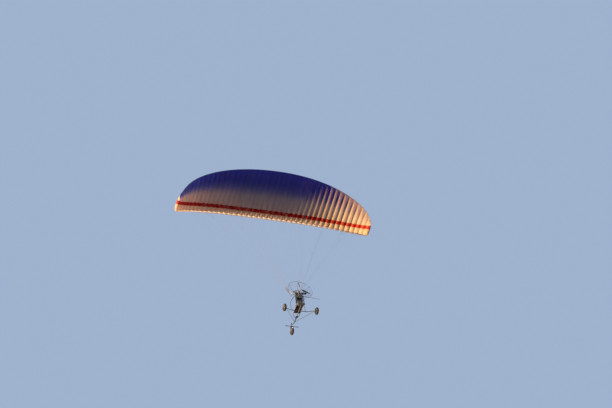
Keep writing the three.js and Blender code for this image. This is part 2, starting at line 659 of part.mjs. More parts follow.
// Engine on its plate between the mast tubes, with the drive up to the propeller shaft.
const plateY = mast.y - 4;
const plateX = mast.x - 16 - gap;
put('engine_plate', 'aluminium', block(-plateX, plateX, plateY, plateY + 8, 895, 1270));
put('crankcase', 'castGrey', join(
  block(-78, 78, 128, plateY - gap, 905, 1045),
  rod(V(0, 94 + gap, 985), V(0, 180, 985), 58, 20),
  block(-110, 110, 240, plateY - gap, 890, 925)));
put('cylinder', 'aluminium', join(
  rod(V(0, 205, 1045 + gap), V(0, 205, 1226), 38, 12),
  ...[1070, 1106, 1142, 1178, 1214].map((z) => rod(
    V(0, 205, z), V(0, 205, z + 12), 62, 14)),
  rod(V(0, 205, 1130), V(66, 205, 1130), 12, 8),
  rod(V(0, 205, 1220), V(0, 205, 1252), 9, 6)));
put('reduction_drive', 'castGrey', cut(join(
  turnedY([[0, 0], [34, 0], [34, 22], [0, 22]], 0, 72, 985),
  turnedY([[0, 0], [82, 0], [82, 22], [0, 22]], 0, 72, shaft.z, 20),
  block(-40, 40, 80, 88, 985, shaft.z),
  rod(V(0, -6, shaft.z), V(0, 76, shaft.z), 24, 12)),
rod(V(0, -20, shaft.z), V(0, 60, shaft.z), 12.5, 12)));
put('silencer', 'castGrey', join(
  turnedY([[0, 0], [30, 0], [54, 18], [54, 232], [30, 250], [0, 250]], 0, 0, 0, 16)
    .rotateZ(-Math.PI / 2).translate(148, 188, 1120),
  rod(V(66 + gap, 205, 1130), V(166, 205, 1130), 14, 12),
  rod(V(300, 188, 1085), V(300, 188, 1030), 13, 10)));
put('air_box', 'black', join(
  block(-232, -112, 138, 240, 930, 1080),
  rod(V(-118, 190, 985), V(-78 - gap, 190, 985), 24, 12)));
put('fuel_tank', 'tank', join(
  loft([[0.86, 396], [1, 420], [1, 590], [0.86, 614]].map(([k, z]) => [[-160, -54], [-120, -77],
    [120, -77], [160, -54], [160, 54], [120, 77], [-120, 77], [-160, 54]].map(([x, y]) => V(
    x * k, 385 + y * k, z)))),
  rod(V(80, 392, 600), V(80, 392, 634), 22, 12)));
put('tank_tray', 'frame', join(
  block(-150, 150, 334, 470, 388, 395.7),
  block(-22, 22, 360, 450, 355 + gap, 390)));

// Guard: a hoop round the propeller on six spokes from the engine plate.
put('cage_hoop', 'hoop', new THREE.TorusGeometry(hoop.radius, hoop.wire, 6, 48)
  .rotateX(Math.PI / 2).translate(0, 0, shaft.z));
const spokeTurns = [30, 90, 150, 210, 270, 330];
put('cage_spokes', 'hoop', (() => {
  const plane = mast.y + 16 + gap + 8;
  const spokes = spokeTurns.map((turn) => {
    const [c, s] = [Math.cos(turn * degrees), Math.sin(turn * degrees)];
    const start = V(c * 262, plane, shaft.z + s * 262);
    const rim = V(c * hoop.radius, 0, shaft.z + s * hoop.radius);
    const short = rim.clone().sub(start).setLength(hoop.wire + gap + 0.2);
    return rod(start, rim.sub(short), 7, 6);
  });
  const ring = new THREE.TorusGeometry(262, 8, 6, 24).rotateX(Math.PI / 2)
    .translate(0, plane, shaft.z);
  return join(ring, ...spokes);
})());

// Propeller: three twisted blades on a hub, one blade upright at rest.
put('propeller', 'carbon', (() => {
  const sections = [[30, 26, 22, 60], [90, 44, 17, 52], [180, 92, 14, 38], [320, 90, 10, 25],
    [460, 70, 7, 18], [565, 46, 5, 14], [shaft.tip, 16, 3, 12]];
  const blade = (turn) => loft(sections.map(([r, chord, thick, twist]) => {
    const [c, s] = [Math.cos(twist * degrees), Math.sin(twist * degrees)];
    return [[-0.5, 0], [-0.25, 0.42], [0.1, 0.5], [0.5, 0], [0.1, -0.42], [-0.25, -0.38]]
      .map(([a, b]) => V((a * chord) * c - (b * thick) * s, (a * chord) * s + (b * thick) * c, r));
  })).rotateY(turn * degrees).translate(0, shaft.plane, shaft.z);
  const boss = turnedY([[0, 0], [26, 0], [44, 8], [44, 40], [0, 40]], 0, shaft.plane - 20, shaft.z, 16);
  const pin = rod(V(0, shaft.plane, shaft.z), V(0, 56, shaft.z), 12, 12);
  return join(blade(0), blade(120), blade(240), boss, pin);
})());

// Front fork with its stem, crown, legs, axle and foot bar.
const front = V(0, wheel.frontY, wheel.radius);
put('front_fork', 'frame', join(
  rod(onAxis(-6), onAxis(steer.high + 10), 17, 12),
  rod(onAxis(steer.high + gap), onAxis(steer.high + 14), 24, 10),
  rod(onAxis(steer.low - gap), onAxis(-8), 26, 12),
  block(-82, 82, crown.y - 24, crown.y + 24, crown.z - 24, crown.z + 6),
  ...[-1, 1].flatMap((s) => [
    rod(V(s * 70, crown.y + 2, crown.z - 10), V(s * 70, front.y, front.z), 13, 8),
    rod(V(s * 58, front.y, front.z), V(s * 88, front.y, front.z), 20, 10)]),
  rod(V(-80, front.y, front.z), V(80, front.y, front.z), wheel.axle, 12)));
put('foot_bar', 'frame', join(
  rod(V(-355, crown.y - 42.3, crown.z - 10), V(355, crown.y - 42.3, crown.z - 10), 14, 8),
  ...[-1, 1].map((s) => rod(V(s * 250, crown.y - 42.3, crown.z - 10),
    V(s * 350, crown.y - 42.3, crown.z - 10), 18, 10)),
  block(-70, 70, crown.y - 46, crown.y - 24 - gap, crown.z - 24, crown.z - 12)));

// Wheels: a round tyre on a dished rim that turns on its axle.
const tyreProfile = (w) => [[142, -w * 0.28], [170, -w * 0.5], [190, -w * 0.42], [200, -w * 0.17],
  [200, w * 0.17], [190, w * 0.42], [170, w * 0.5], [142, w * 0.28]];
const rimProfile = (w) => [[wheel.axle + gap, -w], [26, -w], [26, -9], [120, -9], [141.6, -26],
  [141.6, 26], [120, 9], [26, 9], [26, w], [wheel.axle + gap, w]];
const wheelAt = (name, x, y) => {
  put(`${name}_tyre`, 'rubber', turnedX(tyreProfile(wheel.width), x, y, wheel.radius, 24));
  put(`${name}_rim`, 'aluminium', turnedX(rimProfile(41), x, y, wheel.radius, 24));
};
wheelAt('front_wheel', 0, wheel.frontY);
wheelAt('rear_wheel_right', wheel.rearX, wheel.rearY);
wheelAt('rear_wheel_left', -wheel.rearX, wheel.rearY);

export default group;
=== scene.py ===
import math
from functools import partial
import bmesh
import bpy
from mathutils import Matrix, Vector
from mathutils.bvhtree import BVHTree


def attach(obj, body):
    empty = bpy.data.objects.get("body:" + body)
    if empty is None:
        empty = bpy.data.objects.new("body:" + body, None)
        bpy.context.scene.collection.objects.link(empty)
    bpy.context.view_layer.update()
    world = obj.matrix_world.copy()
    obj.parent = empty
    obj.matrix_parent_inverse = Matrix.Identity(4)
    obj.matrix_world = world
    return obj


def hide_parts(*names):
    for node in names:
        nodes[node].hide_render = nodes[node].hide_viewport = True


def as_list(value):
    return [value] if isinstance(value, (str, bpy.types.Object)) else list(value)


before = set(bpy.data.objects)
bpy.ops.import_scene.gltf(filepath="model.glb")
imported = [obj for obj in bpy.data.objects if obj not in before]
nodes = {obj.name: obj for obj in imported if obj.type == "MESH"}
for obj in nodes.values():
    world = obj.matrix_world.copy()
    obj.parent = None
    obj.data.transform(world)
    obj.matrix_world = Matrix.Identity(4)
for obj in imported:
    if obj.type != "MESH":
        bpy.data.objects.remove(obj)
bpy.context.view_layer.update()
scene = bpy.context.scene
scene.view_settings.view_transform = "Standard"
print("frame loaded:", len(nodes), "nodes")

# The wing's sizes are the part's, in metres, with X to the right, Y forward and Z up.
hang = {"x": 0.27, "y": 0.6565, "z": 1.4, "top": 0.096, "tilt": math.radians(15)}
wing = {
    "halfSpan": 6.15, "chord": 3.1, "tipShare": 0.25, "sweep": 0.82, "sweepPower": 4.5,
    "arc": math.radians(70), "power": 2.9, "cells": 42, "perCell": 8, "steps": 4000,
    "trim": math.radians(5), "thickness": 0.165, "camber": 0.022, "edge": 0.0035, "airAt": 0.36,
    "bulge": 0.23, "noseBulge": (0.45, 0.08), "tailFrom": 0.5, "crown": 0.8, "closing": 0.0032,
}
wing["nose"] = Vector((0, hang["y"] + 1.05, hang["z"] + 7.95))
wing["columns"] = wing["cells"] * wing["perCell"]


def spanLine():
    side = [(0.0, 0.0)]
    step = wing["halfSpan"] / wing["steps"]
    for i in range(1, wing["steps"] + 1):
        turn = wing["arc"] * ((i - 0.5) / wing["steps"]) ** wing["power"]
        x, z = side[-1]
        side.append((x + step * math.cos(turn), z - step * math.sin(turn)))
    return side


spanTable = spanLine()


def profileHeight(side, u):
    camber = wing["camber"] * math.sin(math.pi * u ** 0.75)
    half = 5 * wing["thickness"] * (
        0.2969 * math.sqrt(u) - 0.126 * u - 0.3516 * u * u
        + 0.2843 * u ** 3 - 0.1036 * u ** 4)
    return camber + half if side == "up" else camber - 0.7 * half


def shareAt(t):
    return math.sqrt(1 - (1 - wing["tipShare"] ** 2) * t * t)


def onSection(t, aft, lift, shift=0.0):
    # A point of the rib plane at t, aft of the nose and above the chord line.
    turn = math.copysign(wing["arc"] * abs(t) ** wing["power"], t)
    x, z = spanTable[min(round(abs(t) * wing["steps"]), wing["steps"])]
    point = Vector((
        math.copysign(x, t) + lift * math.sin(turn) + shift * math.cos(turn),
        -wing["sweep"] * abs(t) ** wing["sweepPower"] - aft,
        z + lift * math.cos(turn) - shift * math.sin(turn)))
    return wing["nose"] + Matrix.Rotation(-wing["trim"], 3, "X") @ point


def rawSkin(t, side, u, out=0.0, shift=0.0):
    chord = wing["chord"] * shareAt(t)
    sign = 1 if side == "up" else -1
    low, high = max(u - 0.004, 0), min(u + 0.004, 1)
    along, rise = high - low, profileHeight(side, high) - profileHeight(side, low)
    size = math.hypot(along, rise)
    normal = (-1.0, 0.0) if u == 0 else (-rise / size * sign, along / size * sign)
    lift = profileHeight(side, u) * chord + sign * wing["edge"] * u + normal[1] * out
    return onSection(t, u * chord + normal[0] * out, lift, shift)


air = rawSkin(0, "up", wing["airAt"])


def skinPoint(t, side, u, out=0.0, shift=0.0):
    return rawSkin(t, side, u, out, shift) - air


def at(x, y, z):
    return Vector((x / 1000, y / 1000, z / 1000)) - air


def ribAt(rib):
    return rib / (wing["cells"] / 2)


def crowned(m, side, u, out=0.0):
    # The cloth swells between two ribs, less at the nose, the tail and the tips.
    t = -1 + 2 * m / wing["columns"]
    across = 2 * (m % wing["perCell"]) / wing["perCell"] - 1
    crown = (1 - across * across) ** wing["crown"] if m % wing["perCell"] else 0.0
    (low, reach), tail = wing["noseBulge"], wing["tailFrom"]
    fade = low + (1 - low) * min(u / reach, 1) if u < tail else 1 - ((u - tail) / tail) ** 3
    cell = 2 * wing["halfSpan"] / wing["cells"]
    swell = wing["bulge"] * cell * fade * (1 - 0.3 * abs(t) ** 4)
    return skinPoint(t, side, u, swell * crown + out)


def circle(count, radius=1.0, start=0.0):
    turns = [2 * math.pi * k / count + start for k in range(count)]
    return [(radius * math.cos(a), radius * math.sin(a)) for a in turns]


def squared(count, power, wide, deep):
    # A loop between an ellipse and a rectangle, squarer with a smaller power.
    return [(math.copysign(abs(c) ** power, c) * wide, math.copysign(abs(d) ** power, d) * deep)
            for c, d in circle(count)]


# Node work. A bench adds nodes to one tree, so sky, effects and finishes are written alike.
class NodeBench:
    def __init__(self, tree):
        self.tree = tree

    def add(self, kind, settings=None, **inputs):
        node = self.tree.nodes.new(kind)
        for key, value in (settings or {}).items():
            setattr(node, key, value)
        for key, value in inputs.items():
            self.feed(node.inputs[key.replace("_", " ")], value)
        return node

    def feed(self, socket, value):
        if isinstance(value, bpy.types.NodeSocket):
            self.tree.links.new(value, socket)
        elif isinstance(value, (tuple, list)) and len(value) == 3 and socket.type == "RGBA":
            socket.default_value = (*value, 1)
        else:
            socket.default_value = value

    def feedAll(self, node, *values):
        for i, value in enumerate(values):
            if value is not None:
                self.feed(node.inputs[i], value)
        return node.outputs[0]

    def place(self):
        return self.add("ShaderNodeTexCoord").outputs["Object"]

    def split(self, vector):
        return self.add("ShaderNodeSeparateXYZ", Vector=vector).outputs

    def math(self, operation, *values):
        return self.feedAll(self.add("ShaderNodeMath", {"operation": operation}), *values)

    def spread(self, value, low, high, start=0.3, end=0.7):
        return self.add("ShaderNodeMapRange", Value=value, From_Min=start, From_Max=end,
                        To_Min=low, To_Max=high).outputs[0]

    def noise(self, scale, detail=3.0, vector=None):
        return self.add("ShaderNodeTexNoise", Scale=scale, Detail=detail, Roughness=0.55,
                        Vector=vector or self.place()).outputs["Fac"]

    def wave(self, scale, direction="X", vector=None):
        return self.add("ShaderNodeTexWave", {"bands_direction": direction}, Scale=scale,
                        Vector=vector or self.place()).outputs["Fac"]

    def ramp(self, value, stops):
        node = self.add("ShaderNodeValToRGB")
        while len(node.color_ramp.elements) < len(stops):
            node.color_ramp.elements.new(0.5)
        for element, (place, colour) in zip(node.color_ramp.elements, stops):
            element.position = place
            element.color = (*colour, 1)
        return self.feedAll(node, value)

    def mix(self, amount, a, b, blend="MIX"):
        node = self.add("ShaderNodeMix", {"data_type": "RGBA", "blend_type": blend})
        for i, value in ((0, amount), (6, a), (7, b)):
            self.feed(node.inputs[i], value)
        return node.outputs[2]

    def times(self, a, b, amount=1.0):
        return self.mix(amount, a, b, "MULTIPLY")

    def bump(self, height, distance, strength):
        return self.add("ShaderNodeBump", Height=height, Distance=distance,
                        Strength=strength).outputs[0]

    def blendShaders(self, share, first, second, out):
        both = self.add("ShaderNodeMixShader")
        self.feedAll(both, share, first.outputs[0], second.outputs[0])
        self.feed(out.inputs["Surface"], both.outputs[0])


# Camera, light and floor.
shot = {
    "azimuth": -31.5, "elevation": -50.3, "roll": -17.7, "right": 1.235, "up": 2.05,
    "aim": (0, 300, 5500), "distance": 120.0, "lens": 131.8, "clip": (1, 1000),
}


def makeCamera():
    a, e, r = (math.radians(shot[k]) for k in ("azimuth", "elevation", "roll"))
    toCamera = Vector((math.sin(a) * math.cos(e), -math.cos(a) * math.cos(e), math.sin(e)))
    right = Vector((math.cos(a), math.sin(a), 0))
    up = Vector((-math.sin(a) * math.sin(e), math.cos(a) * math.sin(e), math.cos(e)))
    xAxis = right * math.cos(r) + up * math.sin(r)
    yAxis = up * math.cos(r) - right * math.sin(r)
    place = at(*shot["aim"]) + toCamera * shot["distance"]
    place += xAxis * shot["right"] + yAxis * shot["up"]
    data = bpy.data.cameras.new("camera")
    data.lens = shot["lens"]
    data.clip_start, data.clip_end = shot["clip"]
    camera = bpy.data.objects.new("camera", data)
    turn = Matrix((xAxis, yAxis, toCamera)).transposed().to_4x4()
    camera.matrix_world = Matrix.Translation(place) @ turn
    scene.collection.objects.link(camera)
    scene.camera = camera
    return place


cameraPlace = makeCamera()
light = {
    "sunFrom": (-0.93, 0.46, -0.045), "sunStrength": 12.5, "sunColour": (1.0, 0.61, 0.24),
    "sunWidth": 1.5, "above": (0.80, 0.88, 1.0), "below": (0.009, 0.010, 0.014),
    "turnover": (0.38, 0.62), "shown": (0.345, 0.445, 0.62),
}


def makeLight():
    sun = bpy.data.lights.new("sun", "SUN")
    sun.energy = light["sunStrength"]
    sun.color = light["sunColour"]
    sun.angle = math.radians(light["sunWidth"])
    lamp = bpy.data.objects.new("sun", sun)
    lamp.rotation_mode = "QUATERNION"
    lamp.rotation_quaternion = Vector(light["sunFrom"]).to_track_quat("Z", "Y")
    scene.collection.objects.link(lamp)
    world = bpy.data.worlds.new("studio")
    scene.world = world
    world.use_nodes = True
    sky = NodeBench(world.node_tree)
    sky.tree.nodes.clear()
    height = sky.split(sky.add("ShaderNodeTexCoord").outputs["Generated"])["Z"]
    low, high = light["turnover"]
    tone = sky.ramp(sky.math("MULTIPLY_ADD", height, 0.5, 0.5),
                    [(low, light["below"]), (high, light["above"])])
    sky.blendShaders(sky.add("ShaderNodeLightPath").outputs["Is Camera Ray"],
                     sky.add("ShaderNodeBackground", Color=tone),
                     sky.add("ShaderNodeBackground", Color=light["shown"]),
                     sky.add("ShaderNodeOutputWorld"))


makeLight()
mats = {}


def newObject(name, verts, faces, body, looks="", smooth=True):
    mesh = bpy.data.meshes.new(name)
    mesh.from_pydata([tuple(v) for v in verts], [], faces)
    if smooth:
        mesh.polygons.foreach_set("use_smooth", [True] * len(mesh.polygons))
    mesh.update()
    for look in looks.split():
        mesh.materials.append(mats[look])
    obj = bpy.data.objects.new(name, mesh)
    scene.collection.objects.link(obj)
    if body:
        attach(obj, body)
    return obj


floor = {"below": 1.2, "size": 900, "colour": (0.42, 0.50, 0.62), "roughness": 0.9}


def makeFloor():
    z, size = cameraPlace.z - floor["below"], floor["size"]
    verts = [(-size, -size, z), (size, -size, z), (size, size, z), (-size, size, z)]
    obj = newObject("floor", verts, [(0, 1, 2, 3)], None, smooth=False)
    obj.visible_diffuse = False
    obj.visible_transmission = False
    mat = bpy.data.materials.new("paleFloor")
    mat.use_nodes = True
    shader = mat.node_tree.nodes["Principled BSDF"]
    shader.inputs["Base Color"].default_value = (*floor["colour"], 1)
    shader.inputs["Roughness"].default_value = floor["roughness"]
    obj.data.materials.append(mat)


makeFloor()
print("camera, light and floor made")


# An effect is one node group, built once, with named inputs and outputs.
class Effect(NodeBench):
    def __init__(self, name, inputs, *outputs):
        super().__init__(bpy.data.node_groups.new(name, "ShaderNodeTree"))
        face = self.tree.interface
        for label, value in inputs.items():
            kind = "NodeSocketVector" if isinstance(value, tuple) else "NodeSocketFloat"
            face.new_socket(name=label, in_out="INPUT", socket_type=kind).default_value = value
        for label in outputs:
            face.new_socket(name=label, in_out="OUTPUT", socket_type="NodeSocketFloat")
        self.given = self.tree.nodes.new("NodeGroupInput").outputs
        self.made = self.tree.nodes.new("NodeGroupOutput").inputs

    def end(self, **results):
        for label, value in results.items():
            self.feed(self.made[label], value)
        return self.tree


def makeMottle():
    e = Effect("grimeMottle", {"Scale": 14.0, "Low": 0.85, "High": 1.05}, "Shade", "Mask")
    cloud = e.noise(e.given["Scale"], 4)
    return e.end(Shade=e.spread(cloud, e.given["Low"], e.given["High"]),
                 Mask=e.spread(cloud, 0.0, 1.0))


def makeEdgeWear():
    e = Effect("edgeWear", {"Scale": 18.0, "Ragged": 0.04, "Amount": 0.5}, "Mask")
    edge = e.add("ShaderNodeNewGeometry").outputs["Pointiness"]
    ragged = e.math("MULTIPLY", e.noise(e.given["Scale"], 4), e.given["Ragged"])
    worn = e.spread(e.math("ADD", edge, ragged), 0.0, 1.0, 0.535, 0.575)
    return e.end(Mask=e.math("MULTIPLY", worn, e.given["Amount"]))


def makeTopDust():
    e = Effect("topDust", {"Scale": 24.0, "Amount": 0.25}, "Mask")
    facing = e.split(e.add("ShaderNodeNewGeometry").outputs["Normal"])[2]
    patchy = e.spread(e.noise(e.given["Scale"], 5), 0.25, 1.0)
    dust = e.math("MULTIPLY", e.spread(facing, 0.0, 1.0, 0.25, 0.95), patchy)
    return e.end(Mask=e.math("MULTIPLY", dust, e.given["Amount"]))


def makeFineGrain():
    e = Effect("fineGrain", {"Scale": 260.0}, "Height")
    return e.end(Height=e.noise(e.given["Scale"], 3))


def makePebble():
    e = Effect("pebbleGrain", {"Scale": 260.0}, "Height")
    cells = e.add("ShaderNodeTexVoronoi", Vector=e.place(), Scale=e.given["Scale"])
    return e.end(Height=cells.outputs["Distance"])


def makeBrushLines():
    e = Effect("brushLines", {"Stretch": (4.0, 260.0, 260.0)}, "Lines")
    along = e.add("ShaderNodeMapping", Vector=e.place(), Scale=e.given["Stretch"])
    return e.end(Lines=e.noise(1.0, 2, along.outputs[0]))


def makeThreads():
    e = Effect("wovenThreads", {"Scale": 420.0}, "Height")
    x, y, z = (e.wave(e.given["Scale"], axis) for axis in "XYZ")
    return e.end(Height=e.math("ADD", e.math("MULTIPLY", x, y), e.math("MULTIPLY", z, 0.5)))


def makeTwist():
    e = Effect("strandTwist", {"Scale": 700.0}, "Height")
    return e.end(Height=e.wave(e.given["Scale"], "DIAGONAL"))


def makeRipstop():
    e = Effect("ripstopCloth", {"Grid": 180.0, "Wrinkle": 9.0}, "Height", "Weave")
    grid = e.math("MAXIMUM", e.wave(e.given["Grid"], "X"), e.wave(e.given["Grid"], "Y"))
    drawn = e.add("ShaderNodeMapping", Vector=e.place(), Scale=(1.0, 0.22, 1.0)).outputs[0]
    wrinkles = e.noise(e.given["Wrinkle"], 4, drawn)
    weave = e.noise(55.0, 2)
    fine = e.math("ADD", e.math("MULTIPLY", grid, 0.03), e.math("MULTIPLY", weave, 0.12))
    return e.end(Height=e.math("ADD", wrinkles, fine), Weave=weave)


def makeRibSeam():
    # Cell counts the ribs, so a seam lies where it is whole.
    e = Effect("ribSeam", {"Cell": 0.0, "Along": 0.0}, "Seam", "Stitch", "Panel")
    part = e.math("FRACT", e.math("ADD", e.given["Cell"], 0.5))
    off = e.math("ABSOLUTE", e.math("SUBTRACT", part, 0.5))
    row = e.math("LESS_THAN", e.math("ABSOLUTE", e.math("SUBTRACT", off, 0.014)), 0.0035)
    run = e.add("ShaderNodeCombineXYZ", Y=e.given["Along"]).outputs[0]
    number = e.add("ShaderNodeCombineXYZ", X=e.math("FLOOR", e.given["Cell"])).outputs[0]
    return e.end(Seam=e.math("LESS_THAN", off, 0.022),
                 Stitch=e.math("MULTIPLY", row, e.wave(160.0, "Y", run)),
                 Panel=e.spread(e.noise(0.7, 0, number), 0.93, 1.0))


effects = {
    "mottle": makeMottle(), "edgeWear": makeEdgeWear(), "dust": makeTopDust(),
    "grain": makeFineGrain(), "pebble": makePebble(), "brush": makeBrushLines(),
    "threads": makeThreads(), "twist": makeTwist(), "ripstop": makeRipstop(),
    "ribSeam": makeRibSeam(),
}
finishes = {"dust": (0.22, 0.18, 0.13), "bare": (0.74, 0.74, 0.75), "road": (0.065, 0.056, 0.046)}


class Finish(NodeBench):
    def __init__(self, name):
        self.mat = bpy.data.materials.new(name)
        self.mat.use_nodes = True
        super().__init__(self.mat.node_tree)
        self.shader = self.tree.nodes["Principled BSDF"]

    def effect(self, name, **values):
        node = self.add("ShaderNodeGroup", {"node_tree": effects[name]})
        for label, value in values.items():
            self.feed(node.inputs[label], value)
        return node.outputs

    def mottle(self, scale, low, high):
        return self.effect("mottle", Scale=scale, Low=low, High=high)

    def wear(self, base, bare, scale, ragged, amount):
        worn = self.effect("edgeWear", Scale=scale, Ragged=ragged, Amount=amount)["Mask"]
        return self.mix(worn, base, bare)

    def dust(self, base, scale, amount):
        return self.mix(self.effect("dust", Scale=scale, Amount=amount)["Mask"], base,
                        finishes["dust"])

    def set(self, **inputs):
        for key, value in inputs.items():
            self.feed(self.shader.inputs[key.replace("_", " ")], value)
        return self.mat

    def lightThrough(self, share, colour, normal):
        # Thin cloth lets light through: a translucent share beside the plain surface.
        lit = self.add("ShaderNodeBsdfTranslucent", Color=colour, Normal=normal)
        self.blendShaders(share, self.shader, lit, self.tree.nodes["Material Output"])
        return self.mat


# The canopy's cloth. The bands lie along the section: cream nose, red stripe, cream, blue. On the
# lower skin the aft band is painted blue light and painted shade: a blue light-through colour and a
# darker face stand in for the light that comes through the upper skin's blue.
cloth = {
    "cream": (0.70, 0.57, 0.43), "creamThrough": (0.92, 0.78, 0.74),
    "red": (0.50, 0.022, 0.012), "redThrough": (0.44, 0.012, 0.014),
    "blue": (0.010, 0.024, 0.22), "blueThrough": (0.035, 0.10, 0.86),
    # The lower skin's aft band: a darker face that is painted shade, and a blue light-through
    # colour that is painted blue light.
    "aft": (0.61, 0.48, 0.32), "aftThrough": (0.03, 0.14, 0.72),
    "middleThrough": (0.86, 0.78, 0.88), "rib": (0.70, 0.68, 0.64),
    "stripe": (0.14, 0.215), "blueFrom": 0.56, "blueSweep": 0.30, "upperBlue": (0.556, 0.564),
    # The soft light-through blends paint the spread of light inside the cells; the lower one fades
    # in the lower skin's painted aft band.
    "throughBlue": (0.52, 0.60), "lowerPaintedLightFade": (0.46, 0.76),
    "seamShade": (0.5, 0.5, 0.52), "stitch": (1.25, 1.2, 1.15),
    "upperShare": 0.42, "lowerShare": 0.5, "ribShare": 0.4,
}


def bandAt(t, u):
    # The blue runs nearer to the nose at the tips.
    along = u * shareAt(t)
    blue = cloth["blueFrom"] - cloth["blueSweep"] * abs(t) ** 3
    low = cloth["stripe"][1] + 0.005
    return along if along < low else low + (along - low) * (cloth["blueFrom"] - low) / (blue - low)


def bandStops(through, middle, aft, change):
    low, high = cloth["stripe"]
    nose, stripe = cloth["cream" + through], cloth["red" + through]
    middle, aft = cloth[middle + through], cloth[aft + through]
    return [(0.0, nose), (low - 0.002, nose), (low + 0.002, stripe), (high - 0.002, stripe),
            (high + 0.002, middle), (change[0], middle), (change[1], aft), (1.0, aft)]


def canopyCloth(name, bands, throughBands, through):
    f = Finish(name)
    axes = f.split(f.add("ShaderNodeUVMap", {"uv_map": "canopy"}).outputs[0])
    seams = f.effect("ribSeam", Cell=axes[0], Along=axes[1])
    ripstop = f.effect("ripstop", Grid=180.0, Wrinkle=9.0)
    tone = f.times(f.mottle(0.8, 0.93, 1.0)["Shade"], seams["Panel"])
    tone = f.times(tone, cloth["seamShade"], f.math("MULTIPLY", seams["Seam"], 0.35))
    tone = f.times(tone, cloth["stitch"], f.math("MULTIPLY", seams["Stitch"], 0.5))
    height = f.math("SUBTRACT", ripstop["Height"], f.math("MULTIPLY", seams["Seam"], 0.35))
    normal = f.bump(height, 0.012, 0.55)
    f.set(Base_Color=f.times(f.ramp(axes[1], bands), tone), Normal=normal, Sheen_Weight=0.04,
          Roughness=f.spread(ripstop["Weave"], 0.42, 0.6), Specular_IOR_Level=0.2)
    return f.lightThrough(through, f.times(f.ramp(axes[1], throughBands), tone), normal)


def ribSheetCloth(name, colour, through):
    f = Finish(name)
    grime = f.mottle(3.0, 0.88, 1.0)
    shade = f.times(colour, grime["Shade"])
    normal = f.bump(f.effect("ripstop", Grid=180.0, Wrinkle=5.0)["Height"], 0.006, 0.3)
    f.set(Base_Color=shade, Roughness=f.spread(grime["Mask"], 0.5, 0.7, 0.0, 1.0), Normal=normal)
    return f.lightThrough(through, shade, normal)


# Finishes of the hard parts, the webbing and the lines.
def paint(name, colour, metal=0.0, rough=0.4, wear=(0.25, 0.25, 0.26), coat=0.0, scale=18.0):
    f = Finish(name)
    grime = f.mottle(scale, 0.88, 1.1)
    grain = f.effect("grain", Scale=scale * 14)["Height"]
    base = f.wear(f.times(colour, grime["Shade"]), wear, scale, 0.04, 0.5)
    rise = f.math("ADD", f.math("MULTIPLY", grime["Mask"], 0.2), grain)
    return f.set(Base_Color=f.dust(base, scale, 0.10), Metallic=metal, Coat_Weight=coat,
                 Roughness=f.spread(grain, rough * 0.8, min(rough * 1.35, 1)),
                 Normal=f.bump(rise, 0.0006, 0.25))


def brushed(name, colour, rough=0.32, stretch=(4.0, 260.0, 260.0), rise=0.25):
    f = Finish(name)
    lines = f.effect("brush", Stretch=stretch)["Lines"]
    base = f.times(colour, f.mottle(14.0, 0.82, 1.05)["Shade"])
    return f.set(Base_Color=f.wear(base, finishes["bare"], 30.0, 0.03, 0.3), Metallic=0.95,
                 Roughness=f.spread(lines, rough * 0.75, rough * 1.4),
                 Normal=f.bump(lines, 0.0004, rise))


def woven(name, colour, second, size=420.0, rough=0.85, sheen=0.25):
    f = Finish(name)
    threads = f.effect("threads", Scale=size)["Height"]
    grime = f.mottle(22.0, 0.8, 1.08)
    both = f.mix(f.math("MULTIPLY", threads, 0.7), colour, second)
    return f.set(Base_Color=f.dust(f.times(both, grime["Shade"]), 30.0, 0.12),
                 Roughness=f.spread(grime["Mask"], rough * 0.9, min(rough * 1.1, 1), 0.0, 1.0),
                 Normal=f.bump(threads, 0.0012, 0.5), Sheen_Weight=sheen)


def moulded(name, colour, rough=0.5, pebble=260.0, rise=0.3):
    f = Finish(name)
    grime = f.mottle(12.0, 0.86, 1.06)
    paler = tuple(min(c * 1.8 + 0.02, 1) for c in colour)
    base = f.wear(f.times(colour, grime["Shade"]), paler, 22.0, 0.04, 0.2)
    return f.set(Base_Color=f.dust(base, 20.0, 0.18),
                 Roughness=f.spread(grime["Mask"], rough * 0.85, rough * 1.2, 0.0, 1.0),
                 Normal=f.bump(f.effect("pebble", Scale=pebble)["Height"], 0.0004, rise))


def carbonBlade(name, dark, pale):
    f = Finish(name)
    check = f.math("MULTIPLY", f.wave(95.0, "DIAGONAL"), f.wave(60.0, "X"))
    return f.set(Base_Color=f.ramp(check, [(0.2, dark), (0.8, pale)]), Coat_Weight=0.6,
                 Roughness=f.mottle(30.0, 0.16, 0.30)["Shade"], Normal=f.bump(check, 0.0003, 0.15))


def rubber(name, dark=(0.012, 0.012, 0.013), pale=(0.032, 0.029, 0.026)):
    f = Finish(name)
    grime = f.mottle(20.0, 0.75, 0.95)
    base = f.ramp(grime["Mask"], [(0.35, dark), (1.0, pale)])
    return f.set(Base_Color=f.wear(base, finishes["road"], 26.0, 0.05, 0.5),
                 Roughness=grime["Shade"],
                 Normal=f.bump(f.effect("grain", Scale=400.0)["Height"], 0.0005, 0.3))


def braid(name, colour):
    f = Finish(name)
    strands = f.effect("twist", Scale=700.0)["Height"]
    shade = f.ramp(strands, [(0.2, tuple(c * 0.65 for c in colour)), (0.8, colour)])
    return f.set(Base_Color=shade, Roughness=f.mottle(60.0, 0.6, 0.85)["Shade"],
                 Normal=f.bump(strands, 0.0004, 0.4))


